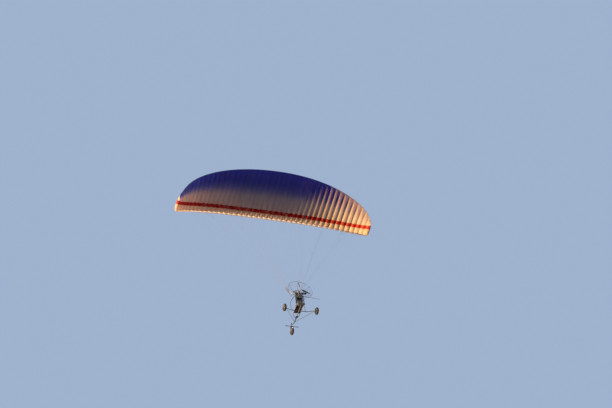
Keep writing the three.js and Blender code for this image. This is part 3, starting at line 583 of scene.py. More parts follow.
mats.update({
    "upperCloth": canopyCloth("upperCloth", bandStops("", "cream", "blue", cloth["upperBlue"]),
                              bandStops("Through", "cream", "blue", cloth["throughBlue"]),
                              cloth["upperShare"]),
    # The lower skin's aft band is painted shade and painted blue light.
    "lowerCloth": canopyCloth("lowerCloth", bandStops("", "cream", "aft", cloth["lowerPaintedLightFade"]),
                              bandStops("Through", "middle", "aft", cloth["lowerPaintedLightFade"]),
                              cloth["lowerShare"]),
    "ribCloth": ribSheetCloth("ribCloth", cloth["rib"], cloth["ribShare"]),
    "frame": paint("framePaint", (0.016, 0.017, 0.020), 0.1, 0.36, coat=0.3),
    "hoop": paint("hoopPaint", (0.10, 0.105, 0.11), 0.75, 0.36, (0.4, 0.4, 0.4)),
    "alu": brushed("brushedAluminium", (0.60, 0.61, 0.62)),
    "steel": brushed("steel", (0.50, 0.51, 0.53), 0.24, (90.0, 1400.0, 1400.0), 0.08),
    "cast": paint("castAlloy", (0.13, 0.132, 0.135), 0.75, 0.5, (0.40, 0.40, 0.40), scale=40.0),
    "rim": paint("rimPaint", (0.024, 0.024, 0.025), 0.5, 0.4, (0.20, 0.195, 0.19), scale=30.0),
    "can": paint("exhaustCoating", (0.055, 0.05, 0.048), 0.5, 0.55, (0.20, 0.10, 0.06), scale=26.0),
    "plastic": moulded("blackPlastic", (0.018, 0.018, 0.020)),
    # Tank plastic: a dark colour that is painted shade, standing in for the shadow the tank sits
    # in.
    "tank": moulded("tankPaintedShade", (0.20, 0.18, 0.14), 0.42, 90.0, 0.12),
    # Engine plate: brushed aluminium given a dark colour, painted shade for the shaded area round
    # the engine.
    "plate": brushed("darkPlatePaintedShade", (0.17, 0.175, 0.185), 0.34),
    "fins": paint("cylinderAlloy", (0.24, 0.24, 0.24), 0.85, 0.48, (0.5, 0.5, 0.5), scale=34.0),
    "fuelRed": moulded("capPlastic", (0.36, 0.03, 0.02), 0.4),
    "carbon": carbonBlade("carbonBlade", (0.012, 0.012, 0.014), (0.035, 0.036, 0.04)),
    "tip": paint("bladeTip", (0.65, 0.42, 0.03), 0.0, 0.35),
    "rubber": rubber("tyreRubber"),
    "grip": moulded("gripRubber", (0.022, 0.022, 0.022), 0.8, 500.0),
    "webbing": woven("webbing", (0.018, 0.020, 0.024), (0.06, 0.065, 0.07), 620.0),
    "webRed": woven("handleWebbing", (0.30, 0.035, 0.02), (0.45, 0.08, 0.04), 620.0),
    "pad": woven("seatFabric", (0.028, 0.030, 0.038), (0.075, 0.078, 0.09), 330.0),
    "piping": woven("piping", (0.10, 0.10, 0.11), (0.16, 0.16, 0.17), 700.0),
    # Edge tape: dark; on the inlet lips it is also painted shade for the shaded inlets.
    "tape": woven("edgeTape", (0.030, 0.032, 0.045), (0.07, 0.07, 0.09), 500.0),
    "line": braid("lineBraid", (0.30, 0.31, 0.33)),
    "brakeLine": braid("brakeBraid", (0.45, 0.16, 0.07)),
    "belt": rubber("driveBelt"),
    "ceramic": moulded("ceramic", (0.75, 0.73, 0.68), 0.25, 60.0),
})
print("materials made")

# The solids that scene.py replaces keep a plain look, by the start of their node's name.
plainLooks = {
    "lines_": "line", "brake_lines": "brakeLine", "brake_handle": "webRed", "riser": "webbing",
    "carabiner": "steel", "hang_arm": "frame", "main_frame": "frame", "side_": "frame",
    "rear_leg": "frame", "cage": "hoop", "seat_pan": "plastic", "seat_cushion": "pad",
    "back_cushion": "pad", "engine_plate": "alu", "crankcase": "cast", "cylinder": "alu",
    "reduction_drive": "cast", "silencer": "can", "air_box": "plastic", "fuel_tank": "tank",
    "tank_tray": "frame", "front_fork": "frame", "foot_bar": "frame", "propeller": "carbon",
    "stabiliser": "upperCloth", "canopy_upper": "upperCloth", "canopy_lower": "lowerCloth",
}


def dressNodes():
    for name, obj in nodes.items():
        look = "rubber" if name.endswith("_tyre") else "alu" if name.endswith("_rim") else next(
            value for key, value in plainLooks.items() if name.startswith(key))
        obj.data.materials.clear()
        obj.data.materials.append(mats[look])


dressNodes()
print("nodes dressed")


def gridFaces(rows, count, start=0):
    corners = [start + i * count + k for i in range(rows - 1) for k in range(count - 1)]
    return [(a, a + 1, a + count + 1, a + count) for a in corners]


def markBands(obj, marks):
    layer = obj.data.uv_layers.new(name="canopy")
    for loop in obj.data.loops:
        layer.data[loop.index].uv = marks[loop.vertex_index]


# The canopy's two skins, as fine curved sheets with a crowned cell between each two ribs.
canopy = {
    "upper": [("low", 0.014), ("low", 0.006)] + [("up", u) for u in (
        0, 0.004, 0.010, 0.018, 0.032, 0.05, 0.07, 0.095, 0.13, 0.17, 0.21, 0.26, 0.31, 0.36,
        0.42, 0.48, 0.54, 0.6, 0.67, 0.74, 0.82, 0.9, 0.96, 1)],
    "lower": [("low", u) for u in (
        0.055, 0.075, 0.1, 0.12, 0.15, 0.19, 0.24, 0.3, 0.36, 0.42, 0.5, 0.58,
        0.66, 0.74, 0.82, 0.9, 0.96, 1)],
}


def skinSheet(name, stations, look, hidden):
    count = len(stations)
    lower = name == "canopyLower"
    verts, marks = [], []
    for m in range(wing["columns"] + 1):
        for side, u in stations:
            verts.append(crowned(m, side, u, -wing["closing"] if u == 1 else 0))
            band = bandAt(-1 + 2 * m / wing["columns"], u)
            marks.append((m / wing["perCell"], band if side == "up" or lower else -band))
    faces = gridFaces(wing["columns"] + 1, count)
    obj = newObject(name, verts, faces if lower else [quad[::-1] for quad in faces], "wing", look)
    markBands(obj, marks)
    creases = obj.data.attributes.new("sharp_edge", "BOOLEAN", "EDGE")
    for edge in obj.data.edges:
        a, b = (v // count for v in edge.vertices)
        creases.data[edge.index].value = a == b and a % wing["perCell"] == 0
    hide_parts(hidden)
    return obj


upperSkin = skinSheet("canopyUpper", canopy["upper"], "upperCloth", "canopy_upper_skin")
lowerSkin = skinSheet("canopyLower", canopy["lower"], "lowerCloth", "canopy_lower_skin")
print("canopy skins made")

right, ahead, upward = (1, 0, 0), (0, 1, 0), (0, 0, 1)
astern, downward = (0, -1, 0), (0, 0, -1)


# Mesh bits: a piece gathers bits in the part's millimetres and becomes one object.
class Bits:
    def __init__(self):
        self.verts, self.faces, self.slots = [], [], []
        self.slot = 0

    def put(self, verts, faces):
        start = len(self.verts)
        self.verts += [Vector(v) for v in verts]
        self.faces += [tuple(start + i for i in face) for face in faces]
        self.slots += [self.slot] * len(faces)

    def take(self, mesh, place):
        mesh.verts.index_update()
        self.put([place(v.co) for v in mesh.verts],
                 [tuple(v.index for v in f.verts) for f in mesh.faces])
        mesh.free()

    def rings(self, rings, loop=False, capped=True):
        count = len(rings[0])
        faces = []
        for i in range(len(rings) if loop else len(rings) - 1):
            j = (i + 1) % len(rings)
            for k in range(count):
                n = (k + 1) % count
                faces.append((i * count + k, i * count + n, j * count + n, j * count + k))
        if capped and not loop:
            last = (len(rings) - 1) * count
            faces.append(tuple(range(count - 1, -1, -1)))
            faces.append(tuple(last + k for k in range(count)))
        self.put([p for ring in rings for p in ring], faces)

    def tube(self, points, radius, sides=12, loop=False):
        points = [Vector(p) for p in points]
        total = len(points)
        radii = radius if isinstance(radius, (list, tuple)) else [radius] * total
        rings, side = [], None
        for i, p in enumerate(points):
            before = points[i - 1] if i or loop else p
            after = points[(i + 1) % total] if i < total - 1 or loop else p
            along = (after - before).normalized()
            side = along.orthogonal().normalized() if side is None else side
            side = (side - along * side.dot(along)).normalized()
            other = along.cross(side)
            rings.append([p + (side * c + other * d) * radii[i] for c, d in circle(sides)])
        self.rings(rings, loop)

    def rod(self, a, b, radius, sides=16, bevel=0.0):
        a, b = Vector(a), Vector(b)
        step = (b - a).normalized() * bevel
        if bevel:
            self.tube([a, a + step, b - step, b], [radius - bevel, radius, radius, radius - bevel],
                      sides)
        else:
            self.tube([a, b], radius, sides)

    def ribbon(self, points, width, thick, across, loop=False):
        # A flat band; its width lies along the vector across.
        points = [Vector(p) for p in points]
        rings = []
        for i, p in enumerate(points):
            before = points[i - 1] if i or loop else p
            after = points[(i + 1) % len(points)] if i < len(points) - 1 or loop else p
            along = (after - before).normalized()
            side = Vector(across)
            side = (side - along * side.dot(along)).normalized() * width / 2
            up = along.cross(side).normalized() * thick / 2
            rings.append([p - side - up, p + side - up, p + side + up, p - side + up])
        self.rings(rings, loop)

    def turned(self, profile, origin, direction, sides=32, loop=False):
        along = Vector(direction).normalized()
        side = along.orthogonal().normalized()
        other = along.cross(side)
        self.rings([[Vector(origin) + along * d + (side * c + other * s) * r
                     for c, s in circle(sides)] for r, d in profile], loop, capped=not loop)

    def collar(self, place, way, inner, outer, start, end, sides=20):
        self.turned([(inner, start), (outer, start + 1), (outer, end - 1), (inner, end)], place,
                    way, sides)

    def sleeve(self, place, way, inner, outer, length, sides=20):
        self.turned([(inner, 0), (outer, 0), (outer, length), (inner, length)], place, way, sides,
                    loop=True)

    def wheelTurned(self, profile, place, sides):
        # A closed profile of radius and width, turned about the axle along X.
        self.rings([[Vector(place) + Vector((wide, r * c, r * d)) for r, wide in profile]
                    for c, d in circle(sides)], loop=True)

    def plate(self, outline, low, high, axis="X"):
        self.rings([[(level, a, b) if axis == "X" else (a, level, b) for a, b in outline]
                    for level in (low, high)])

    def box(self, x0, x1, y0, y1, z0, z1, bevel=2.0):
        mesh = bmesh.new()
        bmesh.ops.create_cube(mesh, size=1)
        size = Vector((x1 - x0, y1 - y0, z1 - z0))
        middle = Vector((x0 + x1, y0 + y1, z0 + z1)) / 2
        for v in mesh.verts:
            v.co = Vector(c * d for c, d in zip(v.co, size))
        bmesh.ops.bevel(mesh, geom=mesh.edges[:], offset=bevel, segments=2, profile=0.6,
                        affect="EDGES")
        self.take(mesh, lambda p: p + middle)

    def bolt(self, place, axis, size=6.0):
        axis, place = Vector(axis).normalized() * size, Vector(place)
        self.tube([place, place + axis * 0.16], size * 1.05, 14)
        self.tube([place + axis * 0.16, place + axis * 0.62, place + axis * 0.72],
                  [size * 0.8, size * 0.8, size * 0.66], 6)

    def weld(self, place, axis, radius):
        axis = Vector(axis).normalized()
        side = axis.orthogonal().normalized()
        other = axis.cross(side)
        self.tube([Vector(place) + (side * c + other * d) * radius for c, d in circle(24)],
                  [2.6 if k % 2 else 2.1 for k in range(24)], 6, loop=True)


def build(name, bits, body, looks, hides="", sharp=38, inFrame=False):
    verts = bits.verts if inFrame else [at(*v) for v in bits.verts]
    obj = newObject(name, verts, bits.faces, body, looks)
    obj.data.polygons.foreach_set("material_index", bits.slots)
    if not inFrame:
        mesh = bmesh.new()
        mesh.from_mesh(obj.data)
        bmesh.ops.recalc_face_normals(mesh, faces=mesh.faces)
        for edge in mesh.edges:
            angle = edge.calc_face_angle(0)
            edge.smooth = len(edge.link_faces) == 2 and angle < math.radians(sharp)
        mesh.to_mesh(obj.data)
        mesh.free()
    if hides:
        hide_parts(*hides.split())
    return obj


hands = {1: "Right", -1: "Left"}


def bothHands(make, name, *nodeNames):
    for side, hand in hands.items():
        make(side, name + hand, " ".join(f"{node}_{hand.lower()}" for node in nodeNames))


def onHand(side, points):
    return [Vector((side * x, y, z)) for x, y, z in points]


def filled(loops):
    # A flat sheet inside the first loop, with the others as holes.
    mesh = bmesh.new()
    for loop in loops:
        ring = [mesh.verts.new(p) for p in loop]
        for k, v in enumerate(ring):
            mesh.edges.new((v, ring[(k + 1) % len(ring)]))
    bmesh.ops.triangle_fill(mesh, use_beauty=True, edges=mesh.edges[:])
    return mesh


def bend(points, steps=8):
    # A smooth curve through the points.
    points = [Vector(p) for p in points]
    ends = [points[0] * 2 - points[1], *points, points[-1] * 2 - points[-2]]
    line = []
    for i in range(1, len(ends) - 2):
        p0, p1, p2, p3 = ends[i - 1:i + 3]
        d0, d1, d2 = (math.sqrt(max((q - p).length, 1e-4))
                      for p, q in ((p0, p1), (p1, p2), (p2, p3)))
        m1 = ((p1 - p0) / d0 - (p2 - p0) / (d0 + d1) + (p2 - p1) / d1) * d1
        m2 = ((p2 - p1) / d1 - (p3 - p1) / (d1 + d2) + (p3 - p2) / d2) * d1
        for k in range(steps):
            t = k / steps
            line.append(p1 * (2 * t ** 3 - 3 * t * t + 1) + m1 * (t ** 3 - 2 * t * t + t)
                        + p2 * (3 * t * t - 2 * t ** 3) + m2 * (t ** 3 - t * t))
    return line + [points[-1]]


# Inner ribs, each a thin sheet with round air holes.
ribs = {
    "top": [0.02, 0.05, 0.1, 0.17, 0.26, 0.36, 0.48, 0.6, 0.72, 0.84, 0.94, 0.995],
    "bottom": [0.06, 0.12, 0.2, 0.3, 0.42, 0.54, 0.66, 0.78, 0.9, 0.995],
    "holes": [(0.14, 0.30), (0.25, 0.32), (0.38, 0.32), (0.51, 0.30), (0.64, 0.28), (0.76, 0.26)],
    "belowTop": 0.006, "aboveBottom": 0.003,
}


def makeRibs():
    bits = Bits()
    loops = [[(u, profileHeight("up", u) - ribs["belowTop"], 0) for u in ribs["top"]]
             + [(u, profileHeight("low", u) + ribs["aboveBottom"], 0)
                for u in reversed(ribs["bottom"])]]
    for u, size in ribs["holes"]:
        high, low = profileHeight("up", u), profileHeight("low", u)
        loops.append([(u + c * 0.9, (high + low) / 2 + d, 0)
                      for c, d in circle(12, size * (high - low))])
    for rib in range(1, wing["cells"]):
        t = -1 + 2 * rib / wing["cells"]
        chord = wing["chord"] * shareAt(t)
        bits.take(filled(loops), lambda p: onSection(t, p.x * chord, p.y * chord) - air)
    return newObject("canopyRibs", bits.verts, bits.faces, "wing", "ribCloth", smooth=False)


ribPiece = makeRibs()

# Tip panels close the end cells, crowned outwards by the air behind them.
tip = {
    "stations": [0, 0.006, 0.02, 0.05, 0.1, 0.17, 0.26, 0.36, 0.48, 0.6, 0.72, 0.84, 0.94, 1],
    "rows": 6, "crown": 0.016, "clear": 0.001, "shift": 0.0003,
}


def makeTip(side, name, hidden):
    verts, marks = [], []
    turn = wing["arc"] * side
    way = Vector((math.cos(turn), 0, -math.sin(turn))) * side
    for u in tip["stations"]:
        top = skinPoint(side, "up", u, 0, side * tip["shift"])
        bottom = skinPoint(side, "low", u, 0, side * tip["shift"]) if u else top
        for k in range(tip["rows"] + 1):
            share = k / tip["rows"]
            crown = math.sin(math.pi * share) * math.sin(math.pi * min(u * 1.15, 1))
            verts.append(top.lerp(bottom, share) + way * (tip["crown"] * crown + tip["clear"]))
            marks.append((0.5, bandAt(1, u)))
    obj = newObject(name, verts, gridFaces(len(tip["stations"]), tip["rows"] + 1), "wing",
                    "upperCloth")
    markBands(obj, marks)
    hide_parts(hidden)
    return obj


tipPanels = [makeTip(side, "tipPanel" + hand, "stabiliser_" + hand.lower())
             for side, hand in hands.items()]

# Tapes bind the inlets and the trailing edge, and flat seams run along each rib. The dark inlet lip
# bands are partly binding tape and partly painted shade: their width and dark colour stand in for
# the shaded inside of the inlets.
tapes = {"lipTapesAndInletShade": ((0.014, 0.004), (0.055, 0.066)), "proud": 0.0015, "lipCord": 0.0032,
         "tailCord": 0.0042}
seam = {"profile": ((-0.008, 0.0008), (-0.0028, 0.0030), (0.0028, 0.0030), (0.008, 0.0008)),
        "mark": 0.13}


def makeTapes():
    def edge(side, u, out):
        return [crowned(m, side, u, out) for m in range(wing["columns"] + 1)]
    bits = Bits()
    # Dark lip bands: binding tape, and painted shade for the shaded inlets.
    for first, second in tapes["lipTapesAndInletShade"]:
        rows = edge("low", first, tapes["proud"]) + edge("low", second, tapes["proud"])
        bits.put(rows, gridFaces(2, wing["columns"] + 1))
        bits.tube(edge("low", first, 0.0), tapes["lipCord"], 6)
    bits.tube(edge("up", 1, -wing["closing"]), tapes["tailCord"], 6)
    return build("edgeTapes", bits, "wing", "tape", inFrame=True)


def makeSeams(side, name, look):
    verts, faces, marks = [], [], []
    stations = canopy["upper"][4:] if side == "up" else canopy["lower"]
    for rib in range(1, wing["cells"]):
        t = -1 + 2 * rib / wing["cells"]
        faces += gridFaces(len(stations), len(seam["profile"]), len(verts))
        for _, u in stations:
            verts += [skinPoint(t, side, u, out, shift) for shift, out in seam["profile"]]
            marks += [(rib + seam["mark"], bandAt(t, u))] * len(seam["profile"])
    obj = newObject(name, verts, faces, "wing", look)
    markBands(obj, marks)
    return obj


tapePiece = makeTapes()

# Rigging above the part's main lines: splits, knots and the tabs that they are sewn to.
rig = {
    "rows": {"a": (0.12, 78), "b": (0.3, 0), "c": (0.58, -78)}, "sideRow": 0.8,
    "ribs": {2: 4, 7: 9, 12: 14, 17: 20}, "starts": (-12, -4, 4, 12), "linkTop": 510.3,
    "brakeKnot": (2350, -420, 7000), "brakeRibs": (5, 10, 14, 18), "split": 0.74,
    "brakeSplit": 0.62, "radius": 0.0011, "brakeRadius": 0.0009, "clear": 0.00075,
}


def hung(side, origin, x, y, z):
    c, d = math.cos(hang["tilt"]), math.sin(hang["tilt"])
    return Vector((side * (origin[0] + x * c + z * d), origin[1] + y, origin[2] - x * d + z * c))


def riserPoint(side, x, y, z):
    return hung(side, (270, 656.5, 1496), x, y, z)


def makeRig(side, name, _):
    lines, tabs = Bits(), Bits()

    def skin(rib, u, out=0.0):
        return skinPoint(side * ribAt(rib), "low", u, out)

    def tab(rib, u):
        base = skin(rib, u)
        if u < 1:
            along = (skin(rib, u + 0.01) - base).normalized()
            out = (skin(rib, u, 0.02) - base).normalized()
        else:
            along = out = (base - skin(rib, 0.98)).normalized()
        foot = base + out * 0.020
        tabs.ribbon([base - out * 0.002, base + out * 0.010, foot], 0.016, 0.0016, along)
        return foot

    for row, (u, reach) in rig["rows"].items():
        for x, (rib, outer) in zip(rig["starts"], rig["ribs"].items()):
            start = at(*riserPoint(side, x, reach, rig["linkTop"]))
            end = skin(rib, u, rig["clear"])
            knot = start.lerp(end, rig["split"])
            tab(rib, u)
            lines.tube([knot.lerp(end, -0.006), knot, knot.lerp(end, 0.008)],
                       [0.0019, 0.0028, 0.0019], 8)
            targets = [(rib - 2, u), (outer, u)]
            if row == "c":
                targets += [(other, rig["sideRow"]) for other in (rib, rib - 2, outer)]
            for target in targets:
                foot = tab(*target)
                lines.tube([knot, knot.lerp(foot, 0.45), foot], rig["radius"], 5)
    lines.slot = 1
    for x, rib in zip(rig["starts"], rig["brakeRibs"]):
        start = at(*hung(side, rig["brakeKnot"], x, 0, 10))
        split = start.lerp(skin(rib, 1, rig["clear"]), rig["brakeSplit"])
        tab(rib, 1)
        for other in (rib - 2, rib + 2):
            foot = tab(other, 1)
            lines.tube([split, split.lerp(foot, 0.5), foot], rig["brakeRadius"], 5)
    build(name, lines, "wing", "line brakeLine", inFrame=True)
    build(name + "Tabs", tabs, "wing", "tape", inFrame=True)


bothHands(makeRig, "cascade")
upperSeams = makeSeams("up", "seamsUpper", "upperCloth")
lowerSeams = makeSeams("low", "seamsLower", "lowerCloth")
print("canopy, ribs, tapes and rigging made")

# The trike's frame: masts, seat tubes, keel and head tube, with welds, caps and bolts.
lean = math.radians(20)
headAxis = Vector((0, -math.sin(lean), math.cos(lean)))


def onAxis(d):
    return Vector((0, 1960, 455)) + headAxis * d


tubeSizes = {
    "mast": 16, "seat": 13, "nose": 12.5, "cross": 14, "keel": 25, "head": 27, "headBore": 18.2,
    "headLip": 28.6, "stretcher": 18, "crossHeights": (330, 640, 1290), "sides": 20, "mastX": 190,
    "seatZ": 478,
}


def makeFrameTubes():
    b = Bits()
    size, sides = tubeSizes, tubeSizes["sides"]
    for s in (1, -1):
        x, seatZ = s * size["mastX"], size["seatZ"]
        b.slot = 0
        b.rod((x, 300, 330), (x, 300, 1330), size["mast"], sides)
        b.rod((x, 300, seatZ), (x, 1058, seatZ), size["seat"], sides)
        b.tube(bend([(x, 1056, seatZ), (s * 180, 1110, 462), (s * 110, 1205, 400),
                     (s * 8, 1300, 335)]), size["nose"], sides)
        b.collar((x, 1036, seatZ), ahead, size["nose"], 15, 0, 27, sides)
        for z in size["crossHeights"]:
            b.weld((s * 173.6, 300, z), right, size["cross"])
        b.weld((x, 315.4, seatZ), ahead, size["seat"])
        b.weld((s * 22, 1286, 343), (s * 102, -95, 65), 13.5)
        b.weld((s * 24, 760, 350), right, size["stretcher"])
        b.plate([(312, 462), (312, 420), (318, 416), (372, 456), (372, 466)], x - 2.5, x + 2.5)
        b.slot = 1
        b.turned([(16, 0), (17.2, -0.5), (17.2, -5), (14, -8), (0.5, -8)], (x, 300, 330),
                 upward, sides)
        b.slot = 2
        for y in (580, 960):
            b.bolt((x, y, 465.4), downward, 7)
        for z in (930, 1235):
            b.bolt((x, 316, z), ahead, 7)
            b.bolt((x, 284, z), astern, 6)
    b.slot = 0
    for z in size["crossHeights"]:
        b.rod((-180, 300, z), (180, 300, z), size["cross"], sides)
    neck = onAxis(125)
    keel = [(0, 300, 330), (0, 900, 330), (0, 1450, 330), (0, 1680, 395), (0, neck.y - 12, neck.z)]
    b.tube(bend(keel, 10), size["keel"], 24)
    b.rod((-400, 760, 350), (400, 760, 350), size["stretcher"], sides)
    bore, head, lip = size["headBore"], size["head"], size["headLip"]
    b.turned([(bore, 30), (head, 30), (lip, 31), (lip, 42), (head, 43), (head, 202), (lip, 203),
              (lip, 214), (head, 215), (bore, 215)], onAxis(0), headAxis, 28, loop=True)
    b.box(-60, 60, 1080, 1200, 296, 316, 4)
    b.plate([(1765, 436), (1916, 494), (1902, 560), (1800, 482)], -3, 3)
    b.weld(neck - Vector((0, 34, 8)), (0, 0.8, 0.6), 25)
    b.slot = 1
    b.turned([(25, 0), (26.4, -0.5), (26.4, -7), (22, -11), (0.5, -11)], (0, 300, 330), ahead, 24)
    b.slot = 2
    for x in (-46, 46):
        for y in (1094, 1186):
            b.bolt((x, y, 296), downward, 7)
    for y in (420, 1420):
        b.bolt((25, y, 330), right, 7)
        b.bolt((-25, y, 330), (-1, 0, 0), 7)
    build("frameTubes", b, "trike", "frame plastic steel", "main_frame")


makeFrameTubes()

# Bent side rails with foam sleeves where the hands rest.
rail = {
    "line": [(370, 760, 384), (380, 746, 620), (378, 728, 870), (358, 664, 940),
             (320, 470, 955), (270, 330, 953), (222, 308, 950)],
    "radius": 11, "socket": 13, "foam": 15.2, "foamFrom": 34, "foamTo": 50,
}


def makeSideRail(side, name, hides):
    b = Bits()
    line = bend(onHand(side, rail["line"]), 10)
    b.rod((side * 370, 760, 368.3), (side * 370, 760, 392), rail["socket"], 18, 1)
    b.tube(line, rail["radius"], 16)
    b.rod((side * 206.3, 300, 950), (side * 236, 300, 950), rail["socket"], 18, 1)
    b.weld((side * 370, 760, 392), upward, rail["radius"] + 0.5)
    b.weld((side * 236, 300.5, 950), right, rail["radius"] + 0.5)
    b.slot = 1
    foam = line[rail["foamFrom"]:rail["foamTo"]]
    b.tube(foam, [11.5, 14.5] + [rail["foam"]] * (len(foam) - 4) + [14.5, 11.5], 18)
    b.slot = 2
    b.bolt((side * 221, 313, 950), ahead, 6)
    b.bolt((side * 383, 760, 378), (side, 0, 0), 6)
    build(name, b, "trike", "frame grip steel", hides)


bothHands(makeSideRail, "sideRail", "side_rail")

# Rear legs with their drag struts and stub axles.
leg = {
    "line": [(424.3, 760, 350), (560, 700, 316), (720, 590, 246), (815, 525, 206)], "radius": 16,
    "strut": 10, "strutEnds": ((32.2, 1478, 322), (795, 547, 208)),
}


def makeRearLeg(side, name, hides):
    b = Bits()
    strut = leg["strut"]
    front, rear = onHand(side, leg["strutEnds"])
    b.rod((side * 400.3, 760, 350), (side * 446, 760, 350), 21, 20, 1.5)
    b.tube(bend(onHand(side, leg["line"]), 10), leg["radius"], 18)
    b.rod(front, rear, strut, 14)
    b.rod((side * 16, 1484, 327), (side * 36, 1472, 321), 12.5, 18, 1.5)
    b.rod((side * 798, 525, 200), (side * 834, 525, 200), 22, 24, 2)
    b.rod((side * 830, 525, 200), (side * 934, 525, 200), 10, 18)
    b.turned([(10.5, 0), (13.5, 0), (13.5, 3), (10.5, 3)], (side * 842, 525, 200),
             (side, 0, 0), 20)
    b.weld((side * 444, 751, 346), (side * 0.9, -0.4, -0.2), 16.5)
    b.weld((side * 800, 533, 212), (0.8 * side, -0.5, -0.3), 17)
    b.plate([(505, 196), (556, 196), (556, 224), (520, 240), (505, 232)], side * 800, side * 807)
    b.slot = 1
    b.tube([(side * x, 525, 200) for x in (931.3, 940, 942)], [17, 17, 14.5], 6)
    b.rod((side * 937, 525, 182), (side * 937, 525, 218), 1.6, 8)
    b.bolt((side * 424, 760, 371), upward, 7)
    b.bolt((side * 424, 760, 329), downward, 7)
    way = (rear - front).normalized()
    b.collar(rear, way, strut, strut + 2, -40, -5, 16)
    b.collar(front, way, strut, strut + 2, 6, 37, 16)
    build(name, b, "trike", "frame steel", hides)


bothHands(makeRearLeg, "rearLeg", "rear_leg")

# Hang arms carry the carabiners on cross pins.
arm = {"line": [(190, 300, 1358), (196, 320, 1406), (212, 460, 1430), (241, 646.5, 1401)],
       "radius": 14, "socket": 17, "pin": 8}


def makeHangArm(side, name, hides):
    b = Bits()
    y, z = 656.5, 1400
    b.rod((side * 190, 300, 1330.3), (side * 190, 300, 1366), arm["socket"], 22, 1.5)
    b.tube(bend(onHand(side, arm["line"]), 10), arm["radius"], 18)
    b.turned([(8.5, 0), (20, 0), (21, 2), (21, 27), (20, 29), (8.5, 29)], (side * 230, y, z),
             (side, 0, 0), 26)
    b.weld((side * 190, 300, 1364), upward, 15)
    b.weld((side * 237, 634, 1404), (side * 29, 187, -29), 14.5)
    b.slot = 1
    b.rod((side * 226, y, z), (side * 283, y, z), arm["pin"], 20)
    b.turned([(8, 0), (14, 0.6), (14, 5), (12, 6), (0.5, 6)], (side * 280, y, z),
             (side, 0, 0), 22)
    b.tube([(side * 222, y, z), (side * 229, y, z)], 13, 6)
    b.bolt((side * 190, 317, 1346), ahead, 6)
    b.bolt((side * 190, 283, 1346), astern, 6)
    build(name, b, "trike", "frame steel", hides)


bothHands(makeHangArm, "hangArm", "hang_arm")

# A stub boom holds the lines off the guard on the right.
boom = {"start": (226, 300, 1040), "end": (1150, 360, 1010), "radius": 9, "taper": 3, "steps": 8,
        "bands": (0.36, 0.7), "band": 1.4, "eye": 0.93, "eyeRadius": 7}


def makeBoom():
    b = Bits()
    start, end = Vector(boom["start"]), Vector(boom["end"])
    way = (end - start).normalized()
    shares = [k / boom["steps"] for k in range(boom["steps"] + 1)]
    b.tube([start.lerp(end, share) for share in shares],
           [boom["radius"] - boom["taper"] * share for share in shares], 16)
    b.rod((206.3, 300, 1040), (250, 300, 1040), 15, 20, 1.5)
    b.slot = 1
    b.turned([(6, -34), (7.6, -33), (7.6, -1), (5, 0.5), (0.5, 0.6)], end, way, 16)
    for share in boom["bands"]:
        radius = boom["radius"] - boom["taper"] * share
        b.collar(start.lerp(end, share), way, radius, radius + boom["band"], -9, 9, 16)
    b.slot = 2
    b.bolt((228, 315, 1040), ahead, 6)
    b.bolt((228, 285, 1040), astern, 5)
    eye = start.lerp(end, boom["eye"]) + Vector((0, 0, -11))
    b.tube([eye + Vector((0, c, d)) for c, d in circle(16, boom["eyeRadius"])], 1.6, 8, loop=True)
    build("sideBoom", b, "trike", "frame grip steel", "side_boom_right")


makeBoom()

# The steered fork and its foot bar.
fork = {"axleY": 2050, "axleZ": 200, "legX": 70, "legTop": (1962, 445), "leg": 13, "axle": 10}
footBar = {"y": 1917.7, "z": 445, "half": 250, "radius": 14, "grip": 18.5, "groove": 17.2,
           "pitch": 6, "grooves": 14, "clampX": 46}


def makeFork():
    b = Bits()
    y, z, legX = fork["axleY"], fork["axleZ"], fork["legX"]
    down = (0, 88, -245)
    b.turned([(0.5, -6), (17, -6), (17, 229), (0.5, 229)], onAxis(0), headAxis, 24)
    b.turned([(16, -8), (26, -7), (26, 22), (24.5, 29.7), (16, 29.7)], onAxis(0), headAxis, 28)
    b.box(-82, 82, 1936, 1984, 431, 461, 6)
    for s in (1, -1):
        b.rod((s * legX, *fork["legTop"]), (s * legX, y, z), fork["leg"], 20)
        b.collar((s * legX, 1968, 428), down, fork["leg"], fork["leg"] + 3, 0, 35, 22)
        b.rod((s * 58, y, z), (s * 88, y, z), 20, 26, 2)
        b.weld((s * legX, 2045, 216), down, fork["leg"] + 0.5)
    b.slot = 1
    b.rod((-80, y, z), (80, y, z), fork["axle"], 18)
    for s in (1, -1):
        b.tube([(s * x, y, z) for x in (87.5, 95, 97)], [15, 15, 12], 6)
        b.bolt((s * 42, 1960, 461), upward, 7)
    b.turned([(17, 215.3), (24, 216), (24, 221), (20.5, 222), (20.5, 229), (0.5, 229.4)],
             onAxis(0), headAxis, 6)
    build("fork", b, "steering", "frame steel", "front_fork")


def makeFootBar():
    b = Bits()
    y, z, half, clampX = footBar["y"], footBar["z"], footBar["half"], footBar["clampX"]
    grip, groove = footBar["grip"], footBar["groove"]
    b.rod((-half, y, z), (half, y, z), footBar["radius"], 20)
    b.box(-70, 70, 1914, 1935.7, 431, 443, 3)
    b.slot = 1
    profile = [(14, 0), (20, 1), (20.5, 4), (grip, 7)]
    for k in range(footBar["grooves"]):
        d = 7 + footBar["pitch"] * k
        profile += [(grip, d), (groove, d + 1), (groove, d + 3), (grip, d + 4)]
    profile += [(grip, 96), (19, 99), (17.6, 103), (12, 105), (0.5, 105)]
    for s in (1, -1):
        b.turned(profile, (s * half, y, z), (s, 0, 0), 22)
    b.slot = 2
    for s in (1, -1):
        x = s * clampX
        b.tube([(x, y - 14.6, z), (x, y, z + 14.6), (x, 1937, z + 15)], 3, 8)
        b.tube([(x, y - 14.6, z), (x, y, z - 14.6), (x, 1936, z - 16)], 3, 8)
        b.bolt((s * 30, 1925, 443), upward, 6)
    build("footBar", b, "steering", "frame grip steel", "foot_bar")


makeFork()
makeFootBar()
print("frame, legs, arms and steering made")

